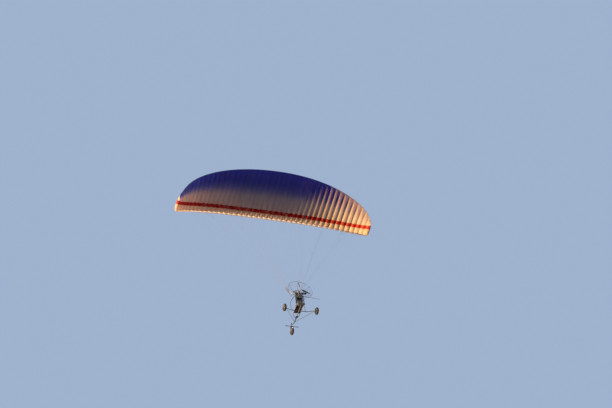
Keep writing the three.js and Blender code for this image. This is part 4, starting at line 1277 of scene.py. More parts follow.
# The guard: a tube hoop with couplers, six spokes, an inner ring and cord lacing.
guard = {
    "radius": 655, "tube": 9, "height": 1150, "inner": 262, "innerTube": 8, "plane": 324.3,
    "spokes": (30, 90, 150, 210, 270, 330), "spoke": 7, "couplers": (60, 150, 240, 330),
    "coupler": [9.4] + [11.4] * 7 + [9.4], "rows": (0.52, 0.66, 0.80, 0.93), "lacing": 8,
    "cord": 1.0,
}


def makeGuard():
    hoop, net = Bits(), Bits()
    g = guard

    def rim(turn, radius=g["radius"], y=0.0):
        a = math.radians(turn)
        return Vector((radius * math.cos(a), y, g["height"] + radius * math.sin(a)))

    def hub(turn):
        return rim(turn, g["inner"], g["plane"])

    hoop.tube([rim(360 * k / 144) for k in range(144)], g["tube"], 14, loop=True)
    for turn in g["couplers"]:
        hoop.tube([rim(turn - 4 + k) for k in range(9)], g["coupler"], 14)
    net.tube([hub(360 * k / 72) for k in range(72)], g["innerTube"], 12, loop=True)
    for turn in g["spokes"]:
        start, end = hub(turn), rim(turn)
        way = (end - start).normalized()
        net.slot = 0
        net.rod(start, end - way * 9.5, g["spoke"], 14)
        net.weld(start + way * 8, way, g["spoke"] + 0.5)
        net.collar(end, way, g["spoke"], g["spoke"] + 1.6, -46, -10, 14)
        net.slot = 1
        net.bolt(end - way * 28 + Vector((0, -8.6, 0)), astern, 4)
    net.slot = 2
    for turn, following in zip(g["spokes"], [*g["spokes"][1:], g["spokes"][0] + 360]):
        rows = [[hub(t).lerp(rim(t), share) for t in (turn, following)] for share in g["rows"]]
        for row in rows:
            net.tube(row, g["cord"], 5)
        for i in range(1, g["lacing"]):
            part = i / g["lacing"]
            net.tube([rows[0][0].lerp(rows[0][1], part),
                      rim(turn + (following - turn) * part, g["radius"] - 8)], g["cord"], 5)
    build("guardHoop", hoop, "trike", "hoop", "cage_hoop")
    build("guardSpokes", net, "trike", "hoop steel line", "cage_spokes")


makeGuard()

# The propeller: three twisted blades with painted tips on a bolted boss.
blades = {
    "sections": [(30, 26, 22, 60), (90, 44, 17, 52), (180, 92, 14, 38), (320, 90, 10, 25),
                 (460, 70, 7, 18), (565, 46, 5, 14), (600, 16, 3, 12)],
    "profile": [(-0.5, 0), (-0.46, 0.16), (-0.38, 0.30), (-0.25, 0.42), (-0.08, 0.49), (0.1, 0.5),
                (0.28, 0.38), (0.42, 0.18), (0.5, 0), (0.42, -0.14), (0.28, -0.30), (0.1, -0.42),
                (-0.08, -0.42), (-0.25, -0.38), (-0.38, -0.26), (-0.46, -0.13)],
    "radii": [30, 45, 60, 75, 90, 110, 130, 155, 180, 215, 250, 285, 320, 355, 390, 425, 460,
              495, 530, 548, 565, 580, 592, 600],
    "paintFrom": 548, "centre": (0, -34, 1150),
}


def sectionAt(radius):
    table = blades["sections"]
    for low, high in zip(table, table[1:]):
        if radius <= high[0]:
            share = (radius - low[0]) / (high[0] - low[0])
            return [a + (b - a) * share for a, b in zip(low, high)]


def makePropeller():
    b = Bits()
    cut = blades["radii"].index(blades["paintFrom"])
    for turn in (0, 120, 240):
        spin = Matrix.Rotation(math.radians(turn), 3, "Y")
        rings = []
        for r in blades["radii"]:
            _, chord, thick, twist = sectionAt(r)
            c, s = math.cos(math.radians(twist)), math.sin(math.radians(twist))
            rings.append([spin @ Vector((p * chord * c - q * thick * s,
                                         p * chord * s + q * thick * c, r))
                          + Vector(blades["centre"]) for p, q in blades["profile"]])
        b.slot = 0
        b.rings(rings[:cut + 1])
        b.slot = 1
        b.rings(rings[cut:])
    b.slot = 2
    b.turned([(0.5, 0), (26, 0), (43, 7), (44, 9), (44, 38), (43, 40), (0.5, 40)],
             (0, -54, 1150), ahead, 40)
    b.rod(blades["centre"], (0, 56, 1150), 12, 20)
    b.slot = 3
    for c, d in circle(6, 31, math.radians(30)):
        b.bolt((c, -48.6, 1150 + d), astern, 5)
    b.bolt((0, -54, 1150), astern, 9)
    build("propellerBlades", b, "propeller", "carbon tip alu steel", "propeller", 50)


makePropeller()
print("guard and propeller made")

# The engine on its plate: crankcase, finned cylinder, drive, exhaust and air box.
motor = {
    "plate": [(-173.7, 905), (-163.7, 895), (163.7, 895), (173.7, 905), (173.7, 1260),
              (163.7, 1270), (-163.7, 1270), (-173.7, 1260)],
    "windows": ((-118, 1180, 34, 48), (118, 1180, 34, 48), (0, 1080, 44, 30)),
    "plateY": 296, "plateThick": 8, "cylinderY": 205, "barrel": 38, "finRadius": 62,
    "topFin": 50, "fins": 15, "finFrom": 1052, "finTo": 1222, "shaftHeight": 1150,
    "crankHeight": 985, "belts": 4, "pulleyY": 72, "pulleyWide": 22, "beltY": 83,
    "beltHalf": 7.4, "beltThick": 3.4,
}


def makeEnginePlate():
    b = Bits()
    y = motor["plateY"]
    loops = [motor["plate"]] + [[(x + c * wide, z + d * high) for c, d in circle(28)]
                                for x, z, wide, high in motor["windows"]]
    mesh = filled([[(x, y, z) for x, z in loop] for loop in loops])
    bmesh.ops.solidify(mesh, geom=mesh.faces[:], thickness=motor["plateThick"])
    low = min(v.co.y for v in mesh.verts)
    b.take(mesh, lambda p: p + Vector((0, y - low, 0)))
    b.slot = 1
    for x in (-150, 150):
        for z in (915, 1010, 1105, 1200, 1250):
            b.bolt((x, y, z), astern, 5.5)
    build("enginePlate", b, "trike", "plate steel", "engine_plate")


def makeCrankcase():
    b = Bits()
    height = motor["crankHeight"]
    b.box(-78, 78, 128, 295.7, 905, 1045, 9)
    b.box(-78.8, 78.8, 196, 204, 903.5, 1046.5, 2)
    b.turned([(0.5, 94.3), (16, 94.3), (18, 97), (44, 98), (54, 101), (58, 106), (58, 122),
              (61, 124), (61, 130), (50, 132), (0.5, 132)], (0, 0, height), ahead, 40)
    for c, d in circle(10):
        b.tube([(22 * c, 97, height + 22 * d), (50 * c, 99.5, height + 50 * d)], 2.4, 6)
    b.box(-110, 110, 240, 295.7, 890, 925, 5)
    for z in (930, 950, 970, 1005, 1025):
        for x in (78, -78):
            b.box(x - 3, x + 3, 140, 190, z - 2.5, z + 2.5, 1.5)
    b.slot = 1
    for c, d in circle(8, 55.5, math.radians(22.5)):
        b.bolt((c, 124, height + d), astern, 4)
    for s in (1, -1):
        b.bolt((s * 92, 262, 925), upward, 6)
        b.bolt((s * 66, 128, 1032), astern, 5)
        b.bolt((s * 66, 128, 918), astern, 5)
    b.slot = 2
    b.turned([(0.5, 0), (13, 0), (15, 3), (15, 9), (11, 12), (0.5, 12)], (0, 84.6, height),
             ahead, 20)
    b.box(-26, 26, 150, 180, 1044, 1049, 2)
    build("crankcase.body", b, "trike", "cast steel plastic", "crankcase")


def makeCylinder():
    b, m = Bits(), motor
    y = m["cylinderY"]
    b.rod((0, y, 1045.3), (0, y, 1224), m["barrel"], 32)
    step = (m["finTo"] - m["finFrom"]) / (m["fins"] - 1)
    for k in range(m["fins"]):
        radius = m["finRadius"] if k < m["fins"] - 1 else m["topFin"]
        b.turned([(36, 0), (radius - 1, 0), (radius, 1.2), (radius, 2.4), (radius - 1, 3.4),
                  (36, 3.8)], (0, y, m["finFrom"] + step * k), upward, 36, loop=True)
    for c, d in circle(16)[:8]:
        b.rings([[(x * c - thick * d, x * d + thick * c + y, z)
                  for x, z in ((-44, 1224), (44, 1224), (40, 1238), (-40, 1238))]
                 for thick in (-1.4, 1.4)])
    for s in (1, -1):
        for t in (1, -1):
            b.rod((s * 27, y + t * 27, 1222), (s * 27, y + t * 27, 1243), 5.5, 12, 1)
    b.rod((0, y, 1130), (66, y, 1130), 12, 18)
    b.box(52, 64, 186, 224, 1116, 1144, 3)
    b.slot = 1
    b.rod((0, y, 1228), (0, y, 1238), 8.5, 6)
    for t in (1, -1):
        b.bolt((64, y + t * 15, 1130), right, 4)
    b.slot = 2
    b.turned([(5, 0), (5, 8), (6.5, 10), (6.5, 14)], (0, y, 1236), upward, 14)
    b.slot = 3
    b.turned([(7.5, 0), (9, 1), (9, 12), (7, 16), (0.5, 16)], (0, y, 1240), upward, 16)
    build("cylinderFins", b, "trike", "fins steel ceramic plastic", "cylinder")


def makeDrive():
    b, m = Bits(), motor
    low, high, width = m["crankHeight"], m["shaftHeight"], m["pulleyWide"]

    def pulley(z, radius):
        profile = [(12.6, 0), (radius + 1.5, 0), (radius + 1.5, 2)]
        pitch = (width - 4) / m["belts"]
        for k in range(m["belts"]):
            d = 2 + pitch * k
            profile += [(radius - 0.5, d + 0.6), (radius - 3.5, d + pitch / 2),
                        (radius - 0.5, d + pitch - 0.6)]
        profile += [(radius + 1.5, width - 2), (radius + 1.5, width), (12.6, width)]
        b.turned(profile, (0, m["pulleyY"], z), ahead, 48, loop=True)

    pulley(low, 34)
    pulley(high, 80)
    for c, d in circle(6, 52):
        b.turned([(11, 0), (13.5, -0.8), (13.5, 0.4), (11, 0.6)], (c, 71.4, high + d),
                 ahead, 18, loop=True)
    b.slot = 1
    b.plate([(-40, 1000), (-34, 985), (34, 985), (40, 1000), (40, 1135), (30, 1150), (-30, 1150),
             (-40, 1135)], 81.5, 86.5, "Y")
    b.turned([(12.7, -6), (23, -6), (24, -5), (24, 76), (12.7, 76)], (0, 0, high), ahead, 30,
             loop=True)
    b.slot = 2
    small, large, y = 33.2, 79.2, m["beltY"]
    tilt = math.asin((large - small) / (high - low))
    turns = [(low, small, -tilt - (math.pi - 2 * tilt) * k / 12) for k in range(13)]
    turns += [(high, large, math.pi + tilt - (math.pi + 2 * tilt) * k / 24) for k in range(25)]
    line = [Vector((r * math.cos(a), y, z + r * math.sin(a))) for z, r, a in turns]
    rings = []
    for i, p in enumerate(line):
        along = (line[(i + 1) % len(line)] - line[i - 1]).normalized()
        out = Vector((along.z, 0, -along.x))
        if out.dot(p - Vector((0, y, turns[i][0]))) < 0:
            out = -out
        inner = [p + Vector((0, wide, 0)) for wide in (-m["beltHalf"], m["beltHalf"])]
        rings.append(inner + [q + out * m["beltThick"] for q in reversed(inner)])
    b.rings(rings, loop=True)
    b.slot = 3
    b.bolt((0, 72, low), astern, 10)
    for x in (29, -29):
        for z in (1118, 1012):
            b.bolt((x, 81.5, z), astern, 5)
    build("beltDrive", b, "trike", "alu cast belt steel", "reduction_drive")


exhaust = {
    "can": [(0.5, 0), (28, 0), (30, 1), (50, 14), (54, 20), (54, 62), (55.4, 63), (55.4, 72),
            (54, 73), (54, 176), (55.4, 177), (55.4, 186), (54, 187), (54, 230), (50, 237),
            (30, 249), (28, 250), (0.5, 250)],
    "pipe": [(66.3, 205, 1130), (90, 205, 1130), (130, 202, 1128), (166, 196, 1124)], "bore": 14,
    "canAt": (148, 188, 1120), "springs": ((130, 1), (138, -1)), "coil": 3.2, "coilPitch": 1.4,
}


def makeExhaust():
    b, e = Bits(), exhaust
    b.turned(e["can"], e["canAt"], right, 40)
    b.tube(e["pipe"], e["bore"], 20)
    b.tube([(300, 188, 1068), (300, 188, 1040), (301, 186, 1030)], [13, 13, 12.6], 20)
    b.sleeve((300, 188, 1030), upward, 11, 14.5, 6)
    b.collar((68, 205, 1130), right, e["bore"], 19, 0, 8)
    for x in (216, 330):
        b.weld((x, 188, 1120), right, 54.4)
    b.slot = 1
    for x, way in e["springs"]:
        b.tube([(x + e["coilPitch"] * k, 205 + way * (16.5 + e["coil"] * math.cos(k)),
                 1130 + e["coil"] * math.sin(k)) for k in range(26)], 0.8, 6)
    b.sleeve((232, 188, 1120), right, 55.4, 57, 16, 40)
    b.box(232, 248, 240, 262, 1108, 1132, 2)
    b.box(176, 248, 256, 296, 1112, 1128, 2)
    b.bolt((240, 248, 1132), upward, 5)
    build("exhaustCan", b, "trike", "can steel", "silencer")


def makeAirBox():
    b = Bits()
    neckY, neckZ = 190, 985
    b.box(-232, -112, 138, 240, 930, 1080, 12)
    b.box(-233.5, -110.5, 136.5, 241.5, 1048, 1054, 2)
    for k in range(5):
        z = 955 + 18 * k
        b.box(-234, -228, 156, 222, z - 3, z + 3, 2)
        b.box(-216, -128, 135.5, 140, z - 3, z + 3, 2)
    for y in (163, 215):
        b.tube([(-233, y, 1010), (-240, y, 1002), (-240, y, 978), (-233, y, 972)], 7, 12)
    b.turned([(24, 0), (24, 12), (26, 13), (26, 19), (24, 20), (24, 40)], (-118, neckY, neckZ),
             right, 26)
    b.slot = 1
    b.sleeve((-92, neckY, neckZ), right, 24.4, 26.8, 6, 26)
    b.box(-90, -80, 182, 198, 1008, 1016, 1)
    b.box(-108, -96, 172, 208, 950, 966, 2)
    for y in (160, 190, 218):
        b.tube([(-172, y, 1080), (-172, y, 1083)], 5, 12)
    b.slot = 2
    for x in (-200, -144):
        b.tube([(x, 136, 1066), (x, 133, 1060), (x, 133, 1040), (x, 136, 1034)], 2, 8)
    build("airBox", b, "trike", "plastic alu steel", "air_box")


tank = {
    "rows": [(0.80, 396), (0.90, 399), (0.97, 408), (1.0, 424), (1.0, 470), (0.985, 476),
             (0.985, 486), (1.0, 492), (1.0, 540), (0.985, 546), (0.985, 556), (1.0, 562),
             (1.0, 588), (0.97, 602), (0.90, 611), (0.80, 614)],
    "halfWidth": 160, "halfDepth": 77, "middleY": 385, "square": 0.42, "capX": 80, "capY": 392,
    "cap": ((614, 22, 0), (615, 22.8, 1.4), (630, 22.8, 1.4), (634, 20.4, 1.4)),
    "strap": [(305.5, 398), (305.5, 600), (319, 616), (451, 616), (464.5, 600), (464.5, 398)],
    "straps": (-95, 35),
}


def makeTank():
    b, t = Bits(), tank
    outline = squared(56, t["square"], t["halfWidth"], t["halfDepth"])
    b.rings([[(x * k, t["middleY"] + y * k, z) for x, y in outline] for k, z in t["rows"]])
    b.turned([(26, 0), (28, 2), (28, 8), (24, 12)], (t["capX"], t["capY"], 606), upward, 30)
    b.slot = 1
    cap = []
    for z, radius, notch in t["cap"]:
        sizes = [radius - (0 if k % 3 else notch) for k in range(48)]
        cap.append([(t["capX"] + c * r, t["capY"] + d * r, z)
                    for r, (c, d) in zip(sizes, circle(48))])
    b.rings(cap)
    b.slot = 2
    for x in t["straps"]:
        b.ribbon(bend([(x, y, z) for y, z in t["strap"]], 5), 25, 2.2, right)
    b.slot = 3
    for x in t["straps"]:
        b.box(x - 17, x + 17, 303, 306, 500, 536, 1)
    b.tube([(-120, 392, 614), (-120, 392, 626), (-112, 388, 634)], 5, 12)
    build("fuelTank", b, "trike", "tank fuelRed webbing steel", "fuel_tank")


def makeTray():
    b = Bits()
    b.box(-150, 150, 334, 470, 390, 395.7, 1.5)
    for y, top in ((336, 396), (468, 400)):
        b.box(-150, 150, y - 2, y + 2, 388, top, 1)
    b.box(-22, 22, 360, 450, 355.3, 390, 3)
    b.slot = 1
    for x in (-45, 45):
        for y in (368, 442):
            b.bolt((x, y, 390), downward, 5)
    build("tankTray", b, "trike", "frame steel", "tank_tray")


for make in (makeEnginePlate, makeCrankcase, makeCylinder, makeDrive, makeExhaust, makeAirBox,
             makeTank, makeTray):
    make()
print("engine, tank and tray made")

# The seat: a bent shell with rolled edges, two sewn cushions and the belts.
seat = {"half": 200, "backY": 500, "z": 505, "lean": math.radians(16), "shellZ": 494.2,
        "shellGap": -3, "thick": 2.5, "rim": 3.6, "studX": 190}
backUp = Vector((0, -math.sin(seat["lean"]), math.cos(seat["lean"])))
backOut = Vector((0, math.cos(seat["lean"]), math.sin(seat["lean"])))


def backPoint(x, up, out):
    return Vector((x, seat["backY"], seat["z"])) + backUp * up + backOut * out


def makeShell():
    b = Bits()
    thick = seat["thick"]
    path = [Vector((0, y, seat["shellZ"])) for y in (1050, 1046, 990, 900, 800, 700, 600, 555)]
    path += [Vector((0, 522, 495)), Vector((0, 505, 501))]
    path += [backPoint(0, up, seat["shellGap"])
             for up in (18, 48, 100, 180, 260, 340, 420, 500, 560, 597, 600)]
    last = len(path) - 1
    rings = []
    for i, p in enumerate(path):
        along = (path[min(i + 1, last)] - path[max(i - 1, 0)]).normalized()
        up = Vector(right).cross(along).normalized()
        if (up.z if i < 8 else up.y) < 0:
            up = -up
        half = seat["half"] - {0: 14, 1: 4}.get(min(i, last - i), 0)
        edge = [(x, thick) for x in (-half, -half + 10, 0, half - 10, half)]
        edge += [(x, -thick) for x in (half, 0, -half)]
        rings.append([Vector((x, p.y, p.z)) + up * h for x, h in edge])
    b.rings(rings)
    for s in (1, -1):
        b.tube([Vector((s * (seat["half"] - seat["rim"]), p.y, p.z)) for p in path[1:-1]],
               seat["rim"], 10)
    b.slot = 1
    for s in (1, -1):
        for y in (580, 960):
            b.turned([(0.5, 0), (9, 0), (8, 1.6), (0.5, 2.2)], (s * seat["studX"], y, 496.8),
                     upward, 16)
        for up in (430, 560):
            b.turned([(0.5, 0), (8, 0), (7, 1.6), (0.5, 2.2)], backPoint(s * 170, up, -6),
                     -backOut, 16)
    build("seatShell", b, "trike", "plastic steel", "seat_pan")


makeShell()

pads = {
    "voxel": 0.0072, "pressure": 4.0, "frames": 20, "cap": 0.011, "channel": 0.0065,
    "channelWidth": 0.0075, "start": 0.972, "square": 0.34, "sides": 64, "stiff": 12,
    "bend": 0.4, "quality": 5, "quickRise": 0.009, "floor": 0.004,
    "rings": ((0.90, 0.92, 0), (0.97, 0.98, 0.10), (1, 1, 0.3), (1, 1, 0.62),
              (0.97, 0.975, 0.82), (0.90, 0.91, 0.92)),
    "piping": 0.0030, "pipingAt": (0.16, 0.80), "stitch": 0.0009, "seamShare": 0.00093,
}


def padMesh(name, width, depth, high):
    bag = Bits()
    bag.rings([[Vector((x * sx * pads["start"], y * sy * pads["start"], high * sz)) / 1000
                for x, y in squared(pads["sides"], pads["square"], width / 2, depth / 2)]
               for sx, sy, sz in pads["rings"]])
    data = bpy.data.meshes.new(name)
    data.from_pydata([tuple(v) for v in bag.verts], [], bag.faces)
    return data


def evaluated(obj):
    graph = bpy.context.evaluated_depsgraph_get()
    graph.update()
    return bpy.data.meshes.new_from_object(obj.evaluated_get(graph))


def inflate(obj):
    remesh = obj.modifiers.new("remesh", "REMESH")
    remesh.mode = "VOXEL"
    remesh.voxel_size = pads["voxel"]
    data = evaluated(obj)
    obj.modifiers.clear()
    obj.data = data
    start = [v.co.copy() for v in data.vertices]
    group = obj.vertex_groups.new(name="floor")
    group.add([v.index for v in data.vertices if v.co.z < pads["floor"]], 1.0, "REPLACE")
    settings = obj.modifiers.new("cloth", "CLOTH").settings
    settings.use_pressure = True
    settings.uniform_pressure_force = pads["pressure"]
    settings.effector_weights.gravity = 0
    settings.vertex_group_mass = "floor"
    settings.quality = pads["quality"]
    settings.tension_stiffness = pads["stiff"]
    settings.compression_stiffness = pads["stiff"]
    settings.bending_stiffness = pads["bend"]
    for step in range(1, pads["frames"] + 1):
        scene.frame_set(step)
    swollen = evaluated(obj)
    moved = [v.co.copy() for v in swollen.vertices]
    obj.modifiers.clear()
    scene.frame_set(1)
    for v, a, b in zip(data.vertices, start, moved):
        step = b - a
        if step.length > pads["cap"]:
            step *= pads["cap"] / step.length
        v.co = a + step
        v.co.z = max(v.co.z, 0.0004)
    bpy.data.meshes.remove(swollen)


def padPiping(tree, size, channels):
    piping = Bits()
    width, depth, high = size
    for share in pads["pipingAt"]:
        line = []
        for x, y in squared(96, pads["square"], width / 2000, depth / 2000):
            far = Vector((x * 1.3, y * 1.3, high * share / 1000))
            hit, normal, _, _ = tree.ray_cast(far, Vector((-x, -y, 0)).normalized())
            if hit is not None:
                line.append(hit + normal * 0.0006)
        piping.tube(line, pads["piping"], 8, loop=True)
    for axis, place in channels:
        line = []
        for k in range(41):
            run = (k / 40 - 0.5) * pads["seamShare"]
            x = place / 1000 if axis == "x" else run * width
            y = place / 1000 if axis == "y" else run * depth
            hit, normal, _, _ = tree.ray_cast(Vector((x, y, 0.2)), Vector(downward))
            if hit is not None and normal.z > 0.3:
                line.append(hit + normal * 0.0004)
        for a, b in zip(line[2:-2], line[3:-1]):
            piping.tube([a.lerp(b, 0.15), a.lerp(b, 0.85)], pads["stitch"], 5)
    return piping


def makePad(name, node, size, channels, matrix):
    high = size[2]
    obj = bpy.data.objects.new(name, padMesh(name, *size))
    scene.collection.objects.link(obj)
    inflate(obj)
    mesh = bmesh.new()
    mesh.from_mesh(obj.data)
    bmesh.ops.subdivide_edges(mesh, edges=mesh.edges[:], cuts=1, use_grid_fill=True, smooth=0.6)
    mesh.normal_update()
    for v in mesh.verts:
        if v.normal.z < -0.6 or v.co.z < high * 0.00035:
            continue
        press = 0.0
        for axis, place in channels:
            off = (v.co.x if axis == "x" else v.co.y) - place / 1000
            press = max(press, math.exp(-(off / pads["channelWidth"]) ** 2))
        v.co -= v.normal * press * pads["channel"] * min(1, (v.co.z * 1000 / high - 0.35) * 3)
    for f in mesh.faces:
        f.smooth = True
    piping = padPiping(BVHTree.FromBMesh(mesh), size, channels)
    mesh.transform(matrix)
    tree = BVHTree.FromBMesh(mesh)
    mesh.to_mesh(obj.data)
    mesh.free()
    obj.data.materials.append(mats["pad"])
    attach(obj, "trike")
    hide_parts(node)
    piping.verts = [matrix @ v for v in piping.verts]
    build(name + "Piping", piping, "trike", "piping", inFrame=True)
    return tree


seatTree = makePad("seatCushion", "seat_cushion", (385, 470, 62),
                   [("y", -118), ("y", 0), ("y", 118), ("x", 0)],
                   Matrix.Translation(at(0, 815, 497.1)))
backTree = makePad("backCushion", "back_cushion", (385, 500, 55),
                   [("y", -125), ("y", 0), ("y", 125)],
                   Matrix.Translation(at(*backPoint(0, 330, 0.3)))
                   @ Matrix.Rotation(seat["lean"] - math.pi / 2, 4, "X"))
print("cushions made")

# Belts lie on the cushions, each point dropped on to the cloth.
belts = {"lap": 40, "shoulder": 44, "thick": 2.4, "lift": 3, "buckleY": 742}


def onSeat(x, y, lift):
    hit = seatTree.ray_cast(at(x, y, 800), Vector(downward))[0]
    return Vector((x, y, 500)) if hit is None else (hit + air) * 1000 + Vector((0, 0, lift))


def onBack(x, up, lift):
    hit = backTree.ray_cast(at(*backPoint(x, up, 200)), -backOut)[0]
    return backPoint(x, up, 4) if hit is None else (hit + air) * 1000 + backOut * lift


def makeBelts():
    b = Bits()
    thick, lift = belts["thick"], belts["lift"]
    for s in (1, -1):
        lap = [(s * 203, 560, 492), (s * 203.5, 568, 520), (s * 201, 582, 548)]
        lap += [onSeat(s * (185 - 13 * k), 596 + 11 * k, lift) for k in range(13)]
        b.slot = 0
        b.ribbon(bend(lap, 3), belts["lap"], thick, (0.75 * s, 0.66, 0))
        shoulder = [backPoint(s * 78, up, out)
                    for up, out in ((540, -10), (590, -10), (605, -1), (596, 9))]
        shoulder += [onBack(s * (78 - k * 1.2), 570 - 34 * k, lift) for k in range(14)]
        b.ribbon(bend(shoulder, 3), belts["shoulder"], thick, right)
        b.slot = 1
        place, wide = onBack(s * 66, 300, 6), Vector((26, 0, 0))
        for up in (-17, 0, 17):
            bar = place + backUp * up
            b.tube([bar - wide, bar + wide], 2.2, 8)
        for end in (place - wide, place + wide):
            b.tube([end - backUp * 18, end + backUp * 18], 2.4, 8)
        b.slot = 2
        b.bolt((s * 203, 560, 492), (s, 0, 0), 8)
    x, y, z = onSeat(0, belts["buckleY"], 9)
    b.slot = 3
    b.box(x - 27, x + 27, y - 21, y + 21, z - 7, z + 8, 4)
    b.slot = 4
    b.box(x - 12, x + 12, y - 12, y + 12, z + 6, z + 11, 2)
    build("seatBelts", b, "trike", "webbing steel steel plastic fuelRed")


makeBelts()
print("seat and belts made")

# Wheels: a grooved tyre on a five-spoke cast rim with sealed bearings.
wheelSizes = {
    "sides": 32, "spokes": 5, "radius": 200, "turn": 0.35,
    "tyre": [(143, -27), (150, -37), (160, -44.5), (170, -47.8), (181, -46.2), (189.5, -41),
             (194.5, -34), (196.6, -29), (192.6, -27.6), (192.6, -24.2), (198.4, -22.6),
             (199.7, -10.5), (195.2, -9.4), (195.2, -5.6), (200, -4.4)],
    "barrel": [(118.5, -8), (127, -12), (136, -23), (141.6, -27), (141.6, -18), (138, -12)],
    "hub": [(10.4, -41), (21, -41), (23, -39), (23, -16), (34, -9)],
    "spoke": ((22, 18, 11), (45, 13.5, 8.5), (75, 11.5, 7), (102, 13.5, 7), (121, 22, 8)),
    "section": ((-1, -0.5), (-0.7, -1), (0.7, -1), (1, -0.5), (1, 0.5), (0.7, 1), (-0.7, 1),
                (-1, 0.5)),
}


def makeWheel(name, body, x, y):
    w = wheelSizes
    place = Vector((x, y, w["radius"]))
    tyre, b = Bits(), Bits()
    for bits, part, sides in ((tyre, "tyre", w["sides"]), (b, "barrel", 60), (b, "hub", 30)):
        bits.wheelTurned(w[part] + [(r, -d) for r, d in reversed(w[part])], place, sides)
    for c, d in circle(w["spokes"], 1, w["turn"]):
        radial, around = Vector((0, c, d)), Vector((0, -d, c))
        b.rings([[place + radial * r + around * p * wide + Vector((q * thick, 0, 0))
                  for p, q in w["section"]] for r, wide, thick in w["spoke"]])
    b.slot = 1
    for s in (1, -1):
        b.turned([(10.6, 0), (19.5, 0), (19.5, 0.9), (10.6, 1.2)],
                 place + Vector((s * 40.6, 0, 0)), (s, 0, 0), 24, loop=True)
    b.slot = 2
    between = w["turn"] + math.pi / w["spokes"]
    for c, d in circle(w["spokes"], 28.5, between):
        for s in (1, -1):
            b.bolt(place + Vector((s * 8.6, c, d)), (s, 0, 0), 4)
    b.slot = 1
    valve = Vector((0, math.cos(between), math.sin(between)))
    foot, tip = place + valve * 122, place + valve * 94 + Vector((6, 0, 0))
    b.tube([foot, foot.lerp(tip, 0.5), foot.lerp(tip, 0.52), tip], [3.4, 3.0, 4.0, 3.8], 10)
    build(name + "Tyre", tyre, body, "rubber", body + "_tyre", 32)
    build(name + "Rim", b, body, "rim plastic steel", body + "_rim")


makeWheel("frontWheel", "front_wheel", 0, 2050)
makeWheel("rearWheelRight", "rear_wheel_right", 890, 525)
makeWheel("rearWheelLeft", "rear_wheel_left", -890, 525)
print("wheels made")

# Risers, carabiners, brake handles and the main lines, from one set of hanging sizes.
riser = {
    "width": 20, "strap": 3, "foot": 58, "top": 500, "stitched": (96, 132, 438), "thread": 0.5,
    "loop": [(-1.6, 66), (-1.7, 36), (-4.6, 20), (-6.8, 8)],
    "eye": [(-1.6, -34), (-1.7, -20), (-3.4, -8), (0, -1.5), (3.4, -8), (1.7, -20), (1.6, -34)],
    "link": ((-8, -3.4), (8, -3.4), (11, 0), (11, 12), (8, 15), (-8, 15), (-11, 12), (-11, 0)),
    "pulley": [(2, -4), (9, -4), (9, -2.6), (6.6, -1), (6.6, 1), (9, 2.6), (9, 4), (2, 4)],
}


def makeRiser(side, name, hides):
    b, r, place = Bits(), riser, partial(riserPoint, side)
    span = r["top"] - 66
    loop = r["loop"] + [(7.1 * math.cos(a), 7.1 * math.sin(a)) for a in
                        (math.pi + math.pi * k / 10 for k in range(11))]
    loop += [(-x, z) for x, z in reversed(r["loop"])]
    b.ribbon([place(x, 0, z) for x, z in loop], r["width"], r["strap"] - 0.2, ahead)
    for way, (_, top) in zip((1, 0, -1), rig["rows"].values()):
        line = [place(0, top * k / 12, r["foot"] + span * k / 12) for k in range(13)]
        b.slot = 0
        b.ribbon(line, r["width"] - 0.4, r["strap"], ahead)
        b.ribbon([place(x, top + 0.17 * way * z, r["top"] + z) for x, z in r["eye"]],
                 r["width"] - 1, 1.6, ahead)
        b.slot = 1 if way == 1 else 2
        for z in r["stitched"]:
            centre = top * (z - r["foot"]) / span
            seams = [((row, -12), (row, 12)) for row in (-7.5, 7.5)]
            seams += [((-7.5, step), (7.5, step)) for step in (-12, -6, 0, 6, 12)]
            for seam in seams:
                for x in (1.9, -1.9):
                    b.tube([place(x, centre + y, z + up) for y, up in seam], r["thread"], 5)
        b.slot = 3
        link = bend([place(0, top + y, r["top"] + z) for y, z in (*r["link"], r["link"][0])], 4)
        b.tube(link[:-1], 2.1, 8, loop=True)
        b.rod(place(0, top + 11, r["top"] + 1), place(0, top + 11, r["top"] + 11), 3.4, 6)
    b.slot = 4
    b.turned(r["pulley"], place(0, -66, 372), right, 18, loop=True)
    b.slot = 3
    b.tube([place(-6, -66, 372), place(6, -66, 372)], 2, 10)
    x, y, z = place(0, -50, 300)
    b.box(x - 2, x + 2, y - 2, y + 2, z - 2, z + 2, 0.5)
    build(name, b, "wing", "webbing webRed piping steel alu", hides)


bothHands(makeRiser, "riser", "riser")

# Carabiner: a forged loop with a gate in its rear side and a screw sleeve over it.
carabiner = {
    "wire": 5, "bends": ((0, 0, 13.5, 190, 350, 20), (14, 86, 10, 0, 90, 8),
                         (-14, 86, 10, 90, 180, 8)),
    "gate": ((270, 640.6, 1424), (270, 633.8, 1474)),
    "sleeve": [(5, 0), (7.2, 0.6), (7.2, 7), (6.4, 7.6), (6.4, 9), (7.2, 9.6), (7.2, 26),
               (6.4, 26.6), (6.4, 28), (7.2, 28.6), (7.2, 35), (5, 36)],
}


def makeCarabiner(side, name, hides):
    b = Bits()
    path = []
    for y, z, radius, start, end, steps in carabiner["bends"]:
        for k in range(steps + 1):
            a = math.radians(start + (end - start) * k / steps)
            path.append((side * 270, 656.5 + y + radius * math.cos(a),
                         1400 + z + radius * math.sin(a)))
    b.tube(path, carabiner["wire"], 16, loop=True)
    low, high = onHand(side, carabiner["gate"])
    way = (high - low).normalized()
    b.turned(carabiner["sleeve"], low + way * 4, way, 20)
    b.slot = 1
    pin, half = low - way * 4, Vector((6.2, 0, 0))
    b.rod(pin - half, pin + half, 2.2, 10)
    build(name, b, "wing", "steel alu", hides)


bothHands(makeCarabiner, "carabiner", "carabiner")

# The brake handles lean with the rear riser leg that they are parked on.
handle = {"lift": 330, "edge": -54.85, "turn": math.atan(78 / 400), "clear": 7.3, "half": 55,
          "width": 17.6, "thick": 3.4}


